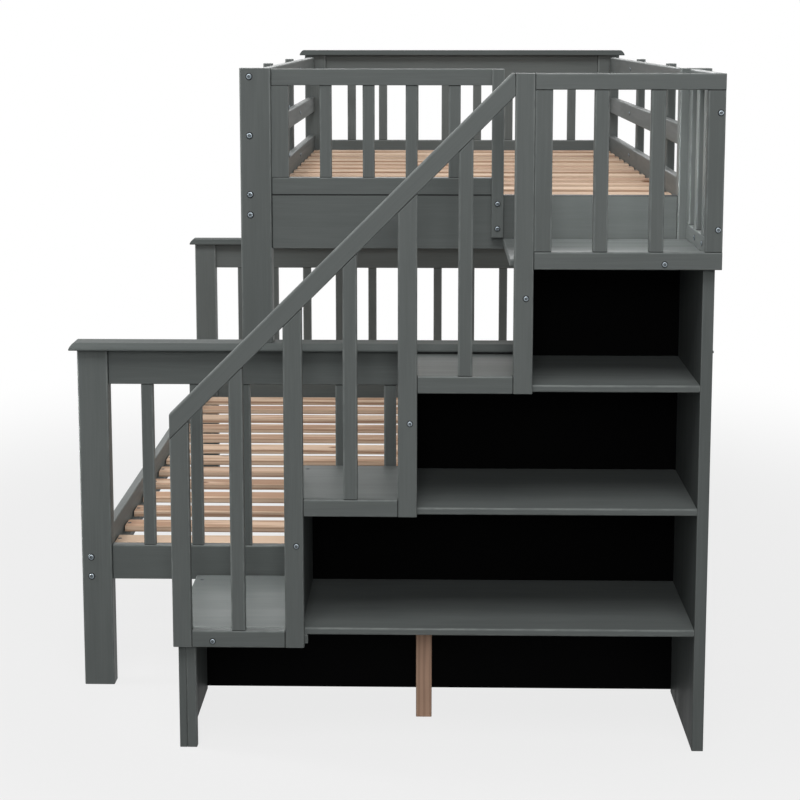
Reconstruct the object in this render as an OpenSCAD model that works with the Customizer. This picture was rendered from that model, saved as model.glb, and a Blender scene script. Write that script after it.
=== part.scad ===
// Twin over full bunk bed with a storage staircase across its foot end.
// The full bed stands on the floor, the twin bunk stands on the full bed's end caps,
// and the stair unit stands against the foot end.
// +X runs up the stairs, +Y runs from the foot end to the head end, +Z is up.
// The origin lies on the floor under the middle of the whole outline.

/* [Beds] */
// Width of the full bed over its posts
lower_w = 1436; // [1400:1:1480]
// Width of the twin bunk over its posts
upper_w = 1055; // [1040:1:1080]
// Length of both beds over their posts
bed_len = 1990; // [1940:1:2060]
// Width of a post across the bed
post_w = 70; // [64:1:74]
// Thickness of a post along the bed
post_t = 40; // [38:1:44]
// Height of a lower post
lower_post_h = 800; // [790:1:815]
// Height of an upper post
upper_post_h = 624; // [615:1:650]
// Thickness of an end cap
cap_t = 17; // [15:1:20]
// Overhang of an end cap past the posts
cap_over = 16; // [12:1:18]
// Upright edge of a cap under its bevel
cap_lip = 4; // [3:0.5:6]

/* [End frames] */
// Height of the rails at the ends of the full bed and at the bunk's headboard
end_rail_h = 82; // [70:1:90]
// Thickness of the rails and boards between two posts
end_rail_t = 22; // [20:1:24]
// Height of the full bed's bottom end rail above the floor
end_rail_z = 254; // [247:1:262]
// Height of the bunk's end board
end_board_h = 122; // [115:1:130]
// Drop of the bunk's end board below its side rails
end_board_drop = 60; // [50:1:70]
// Width of a headboard or footboard baluster
baluster_w = 28; // [24:1:32]
// Thickness of a headboard or footboard baluster
baluster_t = 18; // [16:1:20]
// Spacing of the balusters in the full bed's ends
lower_baluster_pitch = 112; // [104:1:120]
// Spacing of the balusters in the bunk's headboard
upper_baluster_pitch = 106; // [98:1:114]
// Length of a rail's tenon in its post
tenon_l = 25; // [18:1:30]
// Length of a baluster's tenon in its rail
baluster_tenon_l = 8; // [6:1:12]

/* [Side rails and slats] */
// Height of a side rail
side_rail_h = 80; // [74:1:86]
// Thickness of a side rail or a side guard bar
side_rail_t = 20; // [18:1:22]
// Distance of a side rail behind the outer face of its posts
side_rail_inset = 12; // [10:1:14]
// Height of the full bed's side rails above the floor
lower_rail_z = 246; // [240:1:260]
// Height of the bunk's side rails above the lower cap
upper_rail_rise = 277; // [265:1:290]
// Depth of the slats' top faces below the tops of the side rails
slat_drop = 48; // [44:1:52]
// Width of a slat
slat_w = 60; // [50:1:70]
// Thickness of a slat
slat_t = 15; // [13:1:17]
// Spacing of the slats
slat_pitch = 135; // [125:1:145]
// Clearance at each end of a slat
slat_gap = 3; // [2:0.5:4]
// Width of the ledger that carries the slats
ledger_w = 20; // [18:1:24]
// Width of the full bed's centre beam
beam_w = 30; // [26:1:40]
// Height of the full bed's centre beam
beam_h = 60; // [50:1:70]
// Thickness of a leg under the centre beam
beam_leg_t = 45; // [40:1:50]

/* [Bunk guards] */
// Height of a side guard bar
guard_bar_h = 50; // [44:1:56]
// Depth of the top guard bar below the tops of the upper posts
guard_bar_drop = 7; // [4:1:12]
// Spacing of the two bars of a side guard
guard_bar_pitch = 132; // [124:1:136]
// Width of a side guard's stile
side_stile_w = 45; // [40:1:50]
// Thickness of a side guard's stile
side_stile_t = 22; // [18:1:24]
// Distance of each side guard stile from the middle of the bed
side_stile_x = 330; // [300:1:420]
// Depth of the end guard's top below the tops of the upper posts
guard_drop = 2; // [0:1:5]
// Height of the end guard's bottom rail
end_guard_rail_h = 39; // [34:1:44]
// Width of the end guard's stile beside the post
end_stile_w = 39; // [34:1:44]
// Width of the end guard's stile beside the stair opening
lap_stile_w = 27; // [24:1:30]
// Width of a baluster in the end guard
end_guard_baluster_w = 27; // [24:1:30]

/* [Stair unit] */
// Depth of the treads and shelves
stair_d = 351; // [330:1:380]
// Going of one step
going = 238; // [232:1:246]
// Height of the first tread's top above the floor
tread_1_top = 268; // [260:1:275]
// Thickness of a tread or shelf board
board_t = 15; // [13:1:18]
// Gap between the third tread's top and the cap above it
tread_cap_gap = 5; // [2:1:8]
// Length of the platform from its newel to its open side
platform_w = 424; // [410:1:440]
// Distance of the platform's open side inside the outer face of the bed's post
platform_inset = 30; // [26:1:34]
// Reach of the platform past its newel
platform_lip = 8; // [4:1:10]
// Thickness of the left side panel
left_panel_t = 16; // [14:1:18]
// Distance of the left side panel inside the end of the first tread
left_panel_inset = 8; // [4:1:12]
// Thickness of the right side panel
right_panel_t = 24.5; // [20:0.5:26]
// Distance of the right side panel inside the end of the platform
right_panel_inset = 11; // [9:1:13]
// Thickness of a riser panel
riser_t = 18; // [15:1:20]
// Distance of a riser panel's middle from the edge of its tread
riser_inset = 25; // [22:1:28]
// Thickness of the back panels
back_t = 6; // [3:1:8]
// Gap between the stair unit's upright panels and the bed's lower cap
back_gap = 2; // [1:1:5]
// Gap between the lowest back panel and the floor
back_floor_gap = 8; // [4:1:12]
// Width of the batten behind the left panel's front edge
front_stile_w = 21; // [18:1:26]
// Thickness of the battens under the first tread
batten_t = 18; // [16:1:22]
// Height of the cleat under the first tread
cleat_h = 20; // [18:1:24]
// Thickness of the square leg under the lowest shelf
shelf_leg_t = 35; // [30:1:40]
// Distance of the shelf leg's middle from the end of the first tread
shelf_leg_x = 530; // [500:1:560]
// Distance of the shelf leg's middle from the bed's end
shelf_leg_y = 160; // [130:1:200]

/* [Railing] */
// Thickness of the railing
rail_t = 20; // [18:1:24]
// Width of a newel
newel_w = 40; // [36:1:44]
// Width of a baluster in the railing and in the platform guard
stair_baluster_w = 30; // [26:1:34]
// Height of the bars at the treads
bar_h = 36.5; // [34:0.5:40]
// Drop of the first bar below the first tread's top
first_bar_drop = 37.5; // [37:0.5:42]
// Height of the handrail's underside above the first tread at the first newel
handrail_start = 412; // [380:1:430]
// Drop of the handrail's underside below the top of the platform guard at the last newel
handrail_end_drop = 46; // [42:1:52]
// Width of the handrail across its face
handrail_w = 38; // [32:1:42]
// Height of the platform guard's top bar
platform_bar_h = 33; // [30:1:38]
// Width of a stile in the platform guard
platform_stile_w = 36; // [32:1:40]
// Drop of the platform guard's bottom bar below the platform board
platform_bar_drop = 4; // [0:1:6]

/* [Hardware] */
// Diameter of a bed bolt
bolt_d = 6; // [5:0.5:8]
// Length of a bed bolt under its head
bolt_l = 85; // [80:1:90]
// Diameter of a bed bolt's head
bolt_head_d = 12; // [11:0.5:13]
// Height of a bed bolt's head
bolt_head_h = 2.5; // [2:0.5:3]
// Distance of a bed bolt from the edge of its rail
bolt_edge = 17; // [14:1:20]
// Distance of a guard bolt from the top edge of its bar
guard_bolt_edge = 12; // [10:1:16]
// Diameter of a barrel nut
nut_d = 10; // [9:0.5:12]
// Length of a barrel nut
nut_l = 15; // [12:0.5:16]
// Distance of a barrel nut from the end of its rail
nut_place = 35; // [30:1:38]
// Diameter of a wood screw
screw_d = 4; // [3.5:0.5:4.5]
// Diameter of a wood screw's head
screw_head_d = 9; // [8:0.5:10]
// Height of a wood screw's head
screw_head_h = 2.5; // [2:0.5:3]
// Diameter of a pin between a lower and an upper post
pin_d = 12; // [8:1:13]
// Length of a pin on each side of the cap
pin_reach = 30; // [25:1:40]

/* [Hidden] */
// Clearance round a bolt, a nut, a screw or a pin in its bore
bore_gap = 0.15;
// Clearance of a tenon in its mortise
tenon_gap = 0.2;
// Spare depth at the bottom of a bore or a mortise
spare = 0.5;
// Overrun of a cut past a face
past = 1;
// Thickness of a rail's tenon and its shoulder above and below
tenon_t = 10;
tenon_shoulder = 10;
// Shoulder round a baluster's tenon
baluster_shoulder = 4;
// Least gap between a post and its first baluster
least_end_gap = 40;
// Least gap between an end frame and the first slat
least_slat_gap = 20;
// Clearance between two pieces that share a node
piece_gap = 0.3;
// Depth that a long and a short wood screw reach into the second piece
long_bite = 25;
short_bite = 14;
// Length of a tread's countersunk screw
tread_screw_l = 40;
// Wood left under a slat's screw
batten_bottom = 4;
// Place of the first bar's screw, from the first newel's edge and the bar's underside
first_screw = [84, 13.5];
// Drop of a newel's screw below the next tread
riser_screw_drop = 64;
// Distance of the platform bar's screw from the guard's last stile
platform_screw_in = 81;
// Distance of a screw from the end of a platform guard's stile
platform_stile_screw_in = 46;
// Distances of a shelf's screws from its front and back edges
shelf_screw_in = [51, 60];
// Distances of a tread's screws from its front and back edges
tread_screw_in = [69, 34];
// Height of the lapped stile's lower end above the end board's underside
lap_stile_rise = 28;
// Distance of the lapped stile's screws from the board's top and the stile's lower end
lap_screw_in = [18, 20];
// Distance of the end stile's screws from its ends
end_stile_screw_in = 50;
// Height of a side stile's lowest screw above the side rail's underside
low_stile_screw = 58;
// Reach of the cleat past the second newel
cleat_reach = 6;
// Number of sides of a round
round_fn = 32;

// Colours of the finishes
paint = [0.35, 0.37, 0.36];
pine = [0.80, 0.68, 0.56];
leg_wood = [0.56, 0.47, 0.39];
black_board = [0.02, 0.02, 0.02];
zinc = [0.75, 0.77, 0.78];

// Directions in which a bolt or a screw is driven
to_head = [-90, 0, 0];
to_foot = [90, 0, 0];
to_right = [0, 90, 0];
to_left = [0, -90, 0];
down = [180, 0, 0];

// Places along Y
total_len = screw_head_h + rail_t + stair_d + bed_len + cap_over;
rail_y = [screw_head_h - total_len / 2, screw_head_h + rail_t - total_len / 2];
board_y = [rail_y[1], rail_y[1] + stair_d];
foot_y = board_y[1];
head_y = foot_y + bed_len;
mid_y = (foot_y + head_y) / 2;
inner_y = [foot_y + post_t, head_y - post_t];
end_rail_y = [foot_y + (post_t - end_rail_t) / 2, foot_y + (post_t + end_rail_t) / 2];
panel_y = [board_y[0], foot_y - cap_over - back_gap];

// Places along X
lower_x = [-lower_w / 2, lower_w / 2];
upper_x = [lower_w / 2 - upper_w, lower_w / 2];
platform_x = [upper_x[1] - platform_inset - platform_w, upper_x[1] - platform_inset];
stair_x = platform_x[0] - 3 * going;
right_panel_x1 = platform_x[1] - right_panel_inset;
right_panel_x = [right_panel_x1 - right_panel_t, right_panel_x1];
left_panel_x = [stair_x + left_panel_inset, stair_x + left_panel_inset + left_panel_t];
front_stile_x = [left_panel_x[1], left_panel_x[1] + front_stile_w];
lap_stile_x = [platform_x[0] - platform_lip - lap_stile_w, platform_x[0] - platform_lip];
side_guard_x = [platform_x[1] - rail_t, platform_x[1]];

// Places along Z
cap_z = lower_post_h;
bunk_z = lower_post_h + cap_t;
upper_top = bunk_z + upper_post_h;
upper_rail_z = bunk_z + upper_rail_rise;
end_board_z = [upper_rail_z - end_board_drop, upper_rail_z - end_board_drop + end_board_h];
rise = (lower_post_h - tread_cap_gap - tread_1_top) / 2;
guard_top = upper_top - guard_drop;
end_guard_low_z = [end_board_z[1], end_board_z[1] + end_guard_rail_h];
end_guard_top_z = [guard_top - bar_h, guard_top];
top_bar_z = upper_top - guard_bar_drop - guard_bar_h;
side_bar_z = [top_bar_z - guard_bar_pitch, top_bar_z];
ledger_h = side_rail_h - slat_drop - slat_t;
beam_z = lower_rail_z + ledger_h - beam_h;

// Top and underside of tread or shelf k, where the fourth is the platform
function board_top(k) = tread_1_top + (k - 1) * rise;
function board_low(k) = board_top(k) - board_t;

// Left edge of board k, and of the newel that stands at it
function newel_x(k) = stair_x + (k - 1) * going;
function board_x0(k) = k < 4 ? newel_x(k) : newel_x(k) - platform_lip;
function board_x1(k) = k < 4 ? right_panel_x[0] : platform_x[1];
function riser_mid(k) = newel_x(k + 1) + riser_inset;

// Underside of bar k of the railing
function bar_low(k) = k == 1 ? tread_1_top - first_bar_drop : board_low(k);

// Underside of the handrail at a place along the stairs
handrail_low = [tread_1_top + handrail_start, guard_top - handrail_end_drop];
handrail_slope = (handrail_low[1] - handrail_low[0]) / (3 * going);
handrail_h = handrail_w * sqrt(1 + handrail_slope * handrail_slope);
function handrail_z(x) = handrail_low[0] + (x - stair_x) * handrail_slope;

// Low edge, width and height of the platform guard
platform_bar_z = board_low(4) - platform_bar_drop;
platform_upright_z = [platform_bar_z + bar_h, guard_top - platform_bar_h];
side_upright_z = [board_top(4) + bar_h, guard_top - platform_bar_h];

// Side rail of a bed, where side 0 is the left one
function side_rail_x(bed, side) = side == 0
    ? [bed[0] + side_rail_inset, bed[0] + side_rail_inset + side_rail_t]
    : [bed[1] - side_rail_inset - side_rail_t, bed[1] - side_rail_inset];
function ledger_x(bed, side) = side == 0
    ? [side_rail_x(bed, 0)[1], side_rail_x(bed, 0)[1] + ledger_w]
    : [side_rail_x(bed, 1)[0] - ledger_w, side_rail_x(bed, 1)[0]];
function middle(span) = (span[0] + span[1]) / 2;
function post_x(bed, side) = side == 0 ? [bed[0], bed[0] + post_w] : [bed[1] - post_w, bed[1]];
function between_posts(bed) = [bed[0] + post_w, bed[1] - post_w];

// Places of a row of copies that is centred between two posts
function fitting(space, w, pitch) = floor((space[1] - space[0] - w - 2 * least_end_gap) / pitch) + 1;
function row(space, w, pitch) = let (n = fitting(space, w, pitch))
    [for (i = [0 : n - 1]) middle(space) + (i - (n - 1) / 2) * pitch];
// Places of n copies with equal gaps
function equal_row(space, w, n) = let (gap = (space[1] - space[0] - n * w) / (n + 1))
    [for (i = [0 : n - 1]) space[0] + gap + w / 2 + i * (gap + w)];

lower_balusters = row(between_posts(lower_x), baluster_w, lower_baluster_pitch);
upper_balusters = row(between_posts(upper_x), baluster_w, upper_baluster_pitch);
end_guard_space = [upper_x[0] + post_w + end_stile_w, lap_stile_x[0]];
end_guard_balusters = equal_row(end_guard_space, end_guard_baluster_w, 4);
platform_stile_x = [platform_x[0] + newel_w, platform_x[1] - platform_stile_w];
platform_space = [platform_stile_x[0] + platform_stile_w, platform_stile_x[1]];
platform_balusters = equal_row(platform_space, stair_baluster_w, 2);
side_guard_space = [board_y[0] + platform_stile_w, foot_y - platform_stile_w];
side_guard_balusters = equal_row(side_guard_space, stair_baluster_w, 2);
slat_field = [inner_y[0] + least_slat_gap - least_end_gap, inner_y[1] - least_slat_gap + least_end_gap];
slat_places = row(slat_field, slat_w, slat_pitch);
side_stile_y = [mid_y - side_stile_x, mid_y + side_stile_x];
// A ledger's screws lie half way between two slats
ledger_screw_y = [for (i = [1 : 3 : len(slat_places) - 1]) (slat_places[i - 1] + slat_places[i]) / 2];

// Bed bolts as place and direction, on the foot end's and the head end's outer faces
lower_bolt_z = [lower_rail_z + bolt_edge, lower_rail_z + side_rail_h - bolt_edge];
upper_bolt_z = [
    upper_rail_z + bolt_edge,
    upper_rail_z + side_rail_h - bolt_edge,
    side_bar_z[0] + guard_bar_h - guard_bolt_edge,
    side_bar_z[1] + guard_bar_h - guard_bolt_edge
];
function bolt_row(bed, side, zs) = [for (z = zs) each [
    [[middle(side_rail_x(bed, side)), foot_y, z], to_head],
    [[middle(side_rail_x(bed, side)), head_y, z], to_foot]
]];
function bolts_of(bed, side) = bolt_row(bed, side, bed == lower_x ? lower_bolt_z : upper_bolt_z);

// Pins between the lower end frames and the upper posts
pin_places = [for (side = [0, 1]) for (y = [foot_y + post_t / 2, head_y - post_t / 2])
    [middle(post_x(upper_x, side)), y]];

// Wood screws as place, direction and length under the head
first_screw_at = [stair_x + first_screw[0], rail_y[0], bar_low(1) + first_screw[1]];
railing_screws = concat(
    [[first_screw_at, to_head, rail_t + short_bite]],
    [for (k = [1 : 3])
        [[riser_mid(k), rail_y[0], board_low(k + 1) - riser_screw_drop], to_head, rail_t + long_bite]]
);
platform_screw_at = [platform_space[1] - platform_screw_in, rail_y[0], board_top(4) - board_t / 2];
platform_stile_screw_z = [
    platform_upright_z[0] + platform_stile_screw_in,
    platform_upright_z[1] - platform_stile_screw_in
];
platform_screws = concat(
    [[platform_screw_at, to_head, rail_t + long_bite]],
    [for (z = platform_stile_screw_z)
        [[middle(side_guard_x), rail_y[0], z], to_head, rail_t + long_bite]]
);
side_bar_screws = [for (y = side_guard_balusters)
    [[side_guard_x[0], y, board_top(4) + bar_h / 2], to_right, short_bite]];
shelf_screws = [for (k = [1 : 3]) for (y = [board_y[0] + shelf_screw_in[0], board_y[1] - shelf_screw_in[1]])
    [[right_panel_x[1], y, board_top(k) - board_t / 2], to_left, right_panel_t + long_bite]];
lap_stile_y = [end_rail_y[0] - rail_t, end_rail_y[0]];
lap_stile_low = end_board_z[0] + lap_stile_rise;
lap_screws = concat(
    [for (z = [end_board_z[1] - lap_screw_in[0], lap_stile_low + lap_screw_in[1]])
        [[middle(lap_stile_x), lap_stile_y[0], z], to_head, rail_t + short_bite]],
    [for (z = [middle(end_guard_low_z), middle(end_guard_top_z)])
        [[middle(lap_stile_x), end_rail_y[1], z], to_foot, end_rail_t + short_bite]]
);
end_stile_x = [upper_x[0] + post_w, upper_x[0] + post_w + end_stile_w];
end_stile_screws = [
    for (z = [end_guard_low_z[1] + end_stile_screw_in, end_guard_top_z[0] - end_stile_screw_in])
        [[end_stile_x[1], middle(end_rail_y), z], to_left, end_stile_w + long_bite]
];
side_stile_screw_z = [
    side_bar_z[1] + guard_bar_h / 2,
    side_bar_z[0] + guard_bar_h / 2,
    upper_rail_z + low_stile_screw
];
function inner_face(x, side) = side == 0 ? x[1] : x[0];
function outward(side) = side == 0 ? to_left : to_right;
function side_stile_screws(side) = [for (y = side_stile_y) for (z = side_stile_screw_z)
    [[inner_face(side_rail_x(upper_x, side), side), y, z], outward(side), side_rail_t + short_bite]];
function ledger_screws(bed, side, z) = [for (y = ledger_screw_y)
    [[inner_face(ledger_x(bed, side), side), y, z + ledger_h / 2], outward(side), ledger_w + short_bite]];

// Countersunk screws as place, driven down
tread_screw_y = [board_y[0] + tread_screw_in[0], board_y[1] - tread_screw_in[1]];
tread_screws = concat(
    [for (y = tread_screw_y) [middle(left_panel_x), y, board_top(1)]],
    [for (k = [1 : 3]) for (y = tread_screw_y) [riser_mid(k), y, board_top(k + 1)]]
);
function slat_screws_of(bed, z) = [for (side = [0, 1]) for (y = slat_places)
    [middle(ledger_x(bed, side)), y, z + ledger_h + slat_t]];
slat_screw_l = slat_t + ledger_h - batten_bottom;

// Box between two places on each axis
module span(x, y, z) {
    translate([x[0], y[0], z[0]]) cube([x[1] - x[0], y[1] - y[0], z[1] - z[0]]);
}

// The same piece at the head end
module at_head() {
    translate([0, 2 * mid_y, 0]) mirror([0, 1, 0]) children();
}

// Outline in the XZ plane, drawn out along Y
module upright_plate(y, outline) {
    translate([0, y[1], 0]) rotate([90, 0, 0]) linear_extrude(y[1] - y[0]) polygon(outline);
}

// Clear bore of a bolt or a screw that starts at a face
module bore(d, l) {
    translate([0, 0, -past]) cylinder(d = d + 2 * bore_gap, h = l + past + spare, $fn = round_fn);
}

// Bolt or screw with a round head and a hexagon socket
module socket_screw(d, l, head_d, head_h) {
    difference() {
        union() {
            cylinder(d = d, h = l, $fn = round_fn);
            translate([0, 0, -head_h]) cylinder(d = head_d, h = head_h, $fn = round_fn);
        }
        translate([0, 0, -head_h - past]) cylinder(d = d * 0.8, h = head_h * 0.6 + past, $fn = 6);
    }
}

// Countersunk screw with its head flush in the face
module flat_screw(l) {
    cylinder(d = screw_d, h = l, $fn = round_fn);
    cylinder(d1 = screw_head_d, d2 = screw_d, h = screw_head_h, $fn = round_fn);
}

module flat_bore(l) {
    bore(screw_d, l);
    cylinder(d1 = screw_head_d + 2 * bore_gap, d2 = screw_d + 2 * bore_gap, h = screw_head_h,
        $fn = round_fn);
}

// Bores of bolts, screws and pins, cut from each piece that they pass
module bolt_bores(bed, side) {
    for (b = bolts_of(bed, side)) translate(b[0]) rotate(b[1]) bore(bolt_d, bolt_l);
}

module nut_bores(bed, side) {
    for (b = bolts_of(bed, side)) nut_at(b, side, nut_d + 2 * bore_gap, past);
}

module nut_at(b, side, d, out) {
    inward = b[1] == to_head ? 1 : -1;
    face = b[0][0] + (side == 0 ? 1 : -1) * side_rail_t / 2;
    translate([face, b[0][1] + inward * (post_t + nut_place), b[0][2]])
        rotate(side == 0 ? to_left : to_right)
            translate([0, 0, -out]) cylinder(d = d, h = nut_l + out, $fn = round_fn);
}

module screw_bores(list) {
    for (s = list) translate(s[0]) rotate(s[1]) bore(screw_d, s[2]);
}

module flat_bores(list, l) {
    for (p = list) translate(p) rotate(down) flat_bore(l);
}

module pin_bores() {
    for (p = pin_places) translate([p[0], p[1], cap_z - pin_reach - spare])
        cylinder(d = pin_d + 2 * bore_gap, h = cap_t + 2 * (pin_reach + spare), $fn = round_fn);
}

// Tenon of a rail, and with a clearance its mortise, at one or both ends of the rail
module rail_tenons(x, z, gap) {
    mid = middle(end_rail_y);
    span([x[0] - tenon_l - gap, x[1] + tenon_l + gap],
        [mid - tenon_t / 2 - gap, mid + tenon_t / 2 + gap],
        [z[0] + tenon_shoulder - gap, z[1] - tenon_shoulder + gap]);
}

// Rail or board between the two posts of an end
module end_rail(bed, z) {
    span(between_posts(bed), end_rail_y, z);
    rail_tenons(between_posts(bed), z, 0);
}

// Baluster with its two tenons, and with a clearance the mortises for it
module baluster(x, y, z, w, t) {
    span([x - w / 2, x + w / 2], [y - t / 2, y + t / 2], z);
    baluster_tenons(x, y, z, w, t, 0);
}

module baluster_tenons(x, y, z, w, t, gap) {
    half_w = w / 2 - baluster_shoulder + gap;
    half_t = t / 2 - baluster_shoulder + gap;
    reach = baluster_tenon_l + gap;
    span([x - half_w, x + half_w], [y - half_t, y + half_t], [z[0] - reach, z[1] + reach]);
}

module baluster_mortises(places, y, z, w, t) {
    for (x = places) baluster_tenons(x, y, z, w, t, tenon_gap);
}

// Cap that overhangs its posts on all sides, bevelled up to a flat top
module cap_outline(w, over) {
    bevel = cap_t - cap_lip;
    polygon([
        [-over, 0], [w + over, 0], [w + over, cap_lip], [w + over - bevel, cap_t],
        [bevel - over, cap_t], [-over, cap_lip]
    ]);
}

module cap(bed, z) {
    w = bed[1] - bed[0];
    translate([bed[0], foot_y, z]) intersection() {
        translate([-cap_over, 0, 0]) rotate([90, 0, 90])
            linear_extrude(w + 2 * cap_over) cap_outline(post_t, cap_over);
        translate([0, post_t + cap_over, 0]) rotate([90, 0, 0])
            linear_extrude(post_t + 2 * cap_over) cap_outline(w, cap_over);
    }
}

// Posts, drawn at the foot end
lower_rail_zs = [
    [end_rail_z, end_rail_z + end_rail_h],
    [lower_post_h - end_rail_h, lower_post_h]
];
lower_baluster_z = [lower_rail_zs[0][1], lower_rail_zs[1][0]];
head_rail_zs = [end_board_z, [upper_top - end_rail_h, upper_top]];
upper_baluster_z = [head_rail_zs[0][1], head_rail_zs[1][0]];

module lower_post(side) {
    color(paint) difference() {
        span(post_x(lower_x, side), [foot_y, foot_y + post_t], [0, lower_post_h]);
        for (z = lower_rail_zs) rail_tenons(between_posts(lower_x), z, tenon_gap);
        bolt_bores(lower_x, side);
        pin_bores();
    }
}

module upper_post(side, rails) {
    color(paint) difference() {
        span(post_x(upper_x, side), [foot_y, foot_y + post_t], [bunk_z, upper_top]);
        for (z = rails) rail_tenons(between_posts(upper_x), z, tenon_gap);
        bolt_bores(upper_x, side);
        screw_bores(end_stile_screws);
        pin_bores();
    }
}

module head_post(side) {
    color(paint) difference() {
        span(post_x(upper_x, side), [foot_y, foot_y + post_t], [bunk_z, upper_top]);
        for (z = head_rail_zs) rail_tenons(between_posts(upper_x), z, tenon_gap);
        bolt_bores(upper_x, side);
        pin_bores();
    }
}

// End frames of the full bed, drawn at the foot end
module lower_cap() {
    color(paint) difference() {
        cap(lower_x, cap_z);
        pin_bores();
    }
}

module lower_end_rail(k) {
    color(paint) difference() {
        end_rail(lower_x, lower_rail_zs[k]);
        baluster_mortises(lower_balusters, middle(end_rail_y), lower_baluster_z, baluster_w, baluster_t);
        pin_bores();
    }
}

module lower_end_balusters() {
    color(paint) for (x = lower_balusters)
        baluster(x, middle(end_rail_y), lower_baluster_z, baluster_w, baluster_t);
}

// Side rails, ledgers and slats of a bed
module side_rail(bed, side, z) {
    color(paint) difference() {
        span(side_rail_x(bed, side), inner_y, [z, z + side_rail_h]);
        bolt_bores(bed, side);
        nut_bores(bed, side);
        screw_bores(ledger_screws(bed, side, z));
        if (bed == upper_x) screw_bores(side_stile_screws(side));
    }
}

module ledgers(bed, z) {
    color(paint) for (side = [0, 1]) difference() {
        span(ledger_x(bed, side), inner_y, [z, z + ledger_h]);
        screw_bores(ledger_screws(bed, side, z));
        flat_bores(slat_screws_of(bed, z), slat_screw_l);
    }
}

module slats(bed, z) {
    x = [side_rail_x(bed, 0)[1] + slat_gap, side_rail_x(bed, 1)[0] - slat_gap];
    color(pine) for (y = slat_places) difference() {
        span(x, [y - slat_w / 2, y + slat_w / 2], [z + ledger_h, z + ledger_h + slat_t]);
        for (side = [0, 1]) translate([middle(ledger_x(bed, side)), y, z + ledger_h + slat_t])
            rotate(down) flat_bore(slat_screw_l);
    }
}

module lower_centre_beam() {
    color(pine) span([-beam_w / 2, beam_w / 2], [end_rail_y[1], 2 * mid_y - end_rail_y[1]],
        [beam_z, beam_z + beam_h]);
}

module lower_centre_legs() {
    color(pine) for (y = [mid_y - bed_len / 6, mid_y + bed_len / 6])
        span([-beam_leg_t / 2, beam_leg_t / 2], [y - beam_leg_t / 2, y + beam_leg_t / 2], [0, beam_z]);
}

// End frames of the bunk
module upper_foot_board() {
    color(paint) difference() {
        end_rail(upper_x, end_board_z);
        screw_bores(lap_screws);
    }
}

module upper_head_rail(k) {
    color(paint) difference() {
        end_rail(upper_x, head_rail_zs[k]);
        baluster_mortises(upper_balusters, middle(end_rail_y), upper_baluster_z, baluster_w, baluster_t);
    }
}

module upper_head_balusters() {
    color(paint) for (x = upper_balusters)
        baluster(x, middle(end_rail_y), upper_baluster_z, baluster_w, baluster_t);
}

// Side guards of the bunk
module guard_bars(side) {
    color(paint) for (z = side_bar_z) difference() {
        span(side_rail_x(upper_x, side), inner_y, [z, z + guard_bar_h]);
        bolt_bores(upper_x, side);
        nut_bores(upper_x, side);
        screw_bores(side_stile_screws(side));
    }
}

module guard_stiles(side) {
    rail = side_rail_x(upper_x, side);
    x = side == 0 ? [rail[0] - side_stile_t, rail[0]] : [rail[1], rail[1] + side_stile_t];
    color(paint) for (y = side_stile_y) difference() {
        span(x, [y - side_stile_w / 2, y + side_stile_w / 2], [upper_rail_z, guard_top]);
        screw_bores(side_stile_screws(side));
    }
}

// Guard at the foot end of the bunk, beside the way in
end_guard_rail_x = [upper_x[0] + post_w, lap_stile_x[1]];
end_guard_baluster_z = [end_guard_low_z[1], end_guard_top_z[0]];

module end_guard_rails() {
    color(paint) for (z = [end_guard_low_z, end_guard_top_z]) difference() {
        span(end_guard_rail_x, end_rail_y, z);
        baluster_mortises(end_guard_balusters, middle(end_rail_y), end_guard_baluster_z,
            end_guard_baluster_w, baluster_t);
        screw_bores(lap_screws);
    }
}

module end_guard_uprights() {
    color(paint) {
        for (x = end_guard_balusters)
            baluster(x, middle(end_rail_y), end_guard_baluster_z, end_guard_baluster_w, baluster_t);
        difference() {
            span(end_stile_x, end_rail_y, end_guard_baluster_z);
            screw_bores(end_stile_screws);
        }
        difference() {
            span(lap_stile_x, lap_stile_y, [lap_stile_low, guard_top]);
            screw_bores(lap_screws);
        }
    }
}

// Stair unit
module stair_left_panel() {
    color(paint) difference() {
        span(left_panel_x, panel_y, [0, board_low(1)]);
        flat_bores(tread_screws, tread_screw_l);
    }
}

module stair_right_panel() {
    color(paint) difference() {
        span(right_panel_x, panel_y, [0, board_low(4)]);
        screw_bores(shelf_screws);
    }
}

module stair_risers() {
    color(paint) for (k = [1 : 3]) difference() {
        span([riser_mid(k) - riser_t / 2, riser_mid(k) + riser_t / 2], panel_y,
            [board_top(k), board_low(k + 1)]);
        flat_bores(tread_screws, tread_screw_l);
        screw_bores(railing_screws);
    }
}

module stair_back_panels() {
    y = [panel_y[1] - back_t, panel_y[1]];
    color(black_board) {
        span([left_panel_x[1], right_panel_x[0]], y, [back_floor_gap, board_low(1)]);
        for (k = [1 : 3])
            span([riser_mid(k) + riser_t / 2, right_panel_x[0]], y, [board_top(k), board_low(k + 1)]);
    }
}

module stair_battens() {
    y = [board_y[0], board_y[0] + batten_t];
    cleat_x = [front_stile_x[1] + piece_gap, newel_x(2) + newel_w + cleat_reach];
    color(paint) {
        span(front_stile_x, y, [0, board_low(1)]);
        difference() {
            span(cleat_x, y, [board_low(1) - cleat_h, board_low(1)]);
            screw_bores(railing_screws);
        }
    }
}

module shelf_leg() {
    x = stair_x + shelf_leg_x;
    y = foot_y - shelf_leg_y;
    half = shelf_leg_t / 2;
    color(leg_wood) span([x - half, x + half], [y - half, y + half], [0, board_low(1)]);
}

module stair_board(k) {
    color(paint) difference() {
        span([board_x0(k), board_x1(k)], board_y, [board_low(k), board_top(k)]);
        flat_bores(tread_screws, tread_screw_l);
        screw_bores(shelf_screws);
        screw_bores(platform_screws);
    }
}

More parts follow.
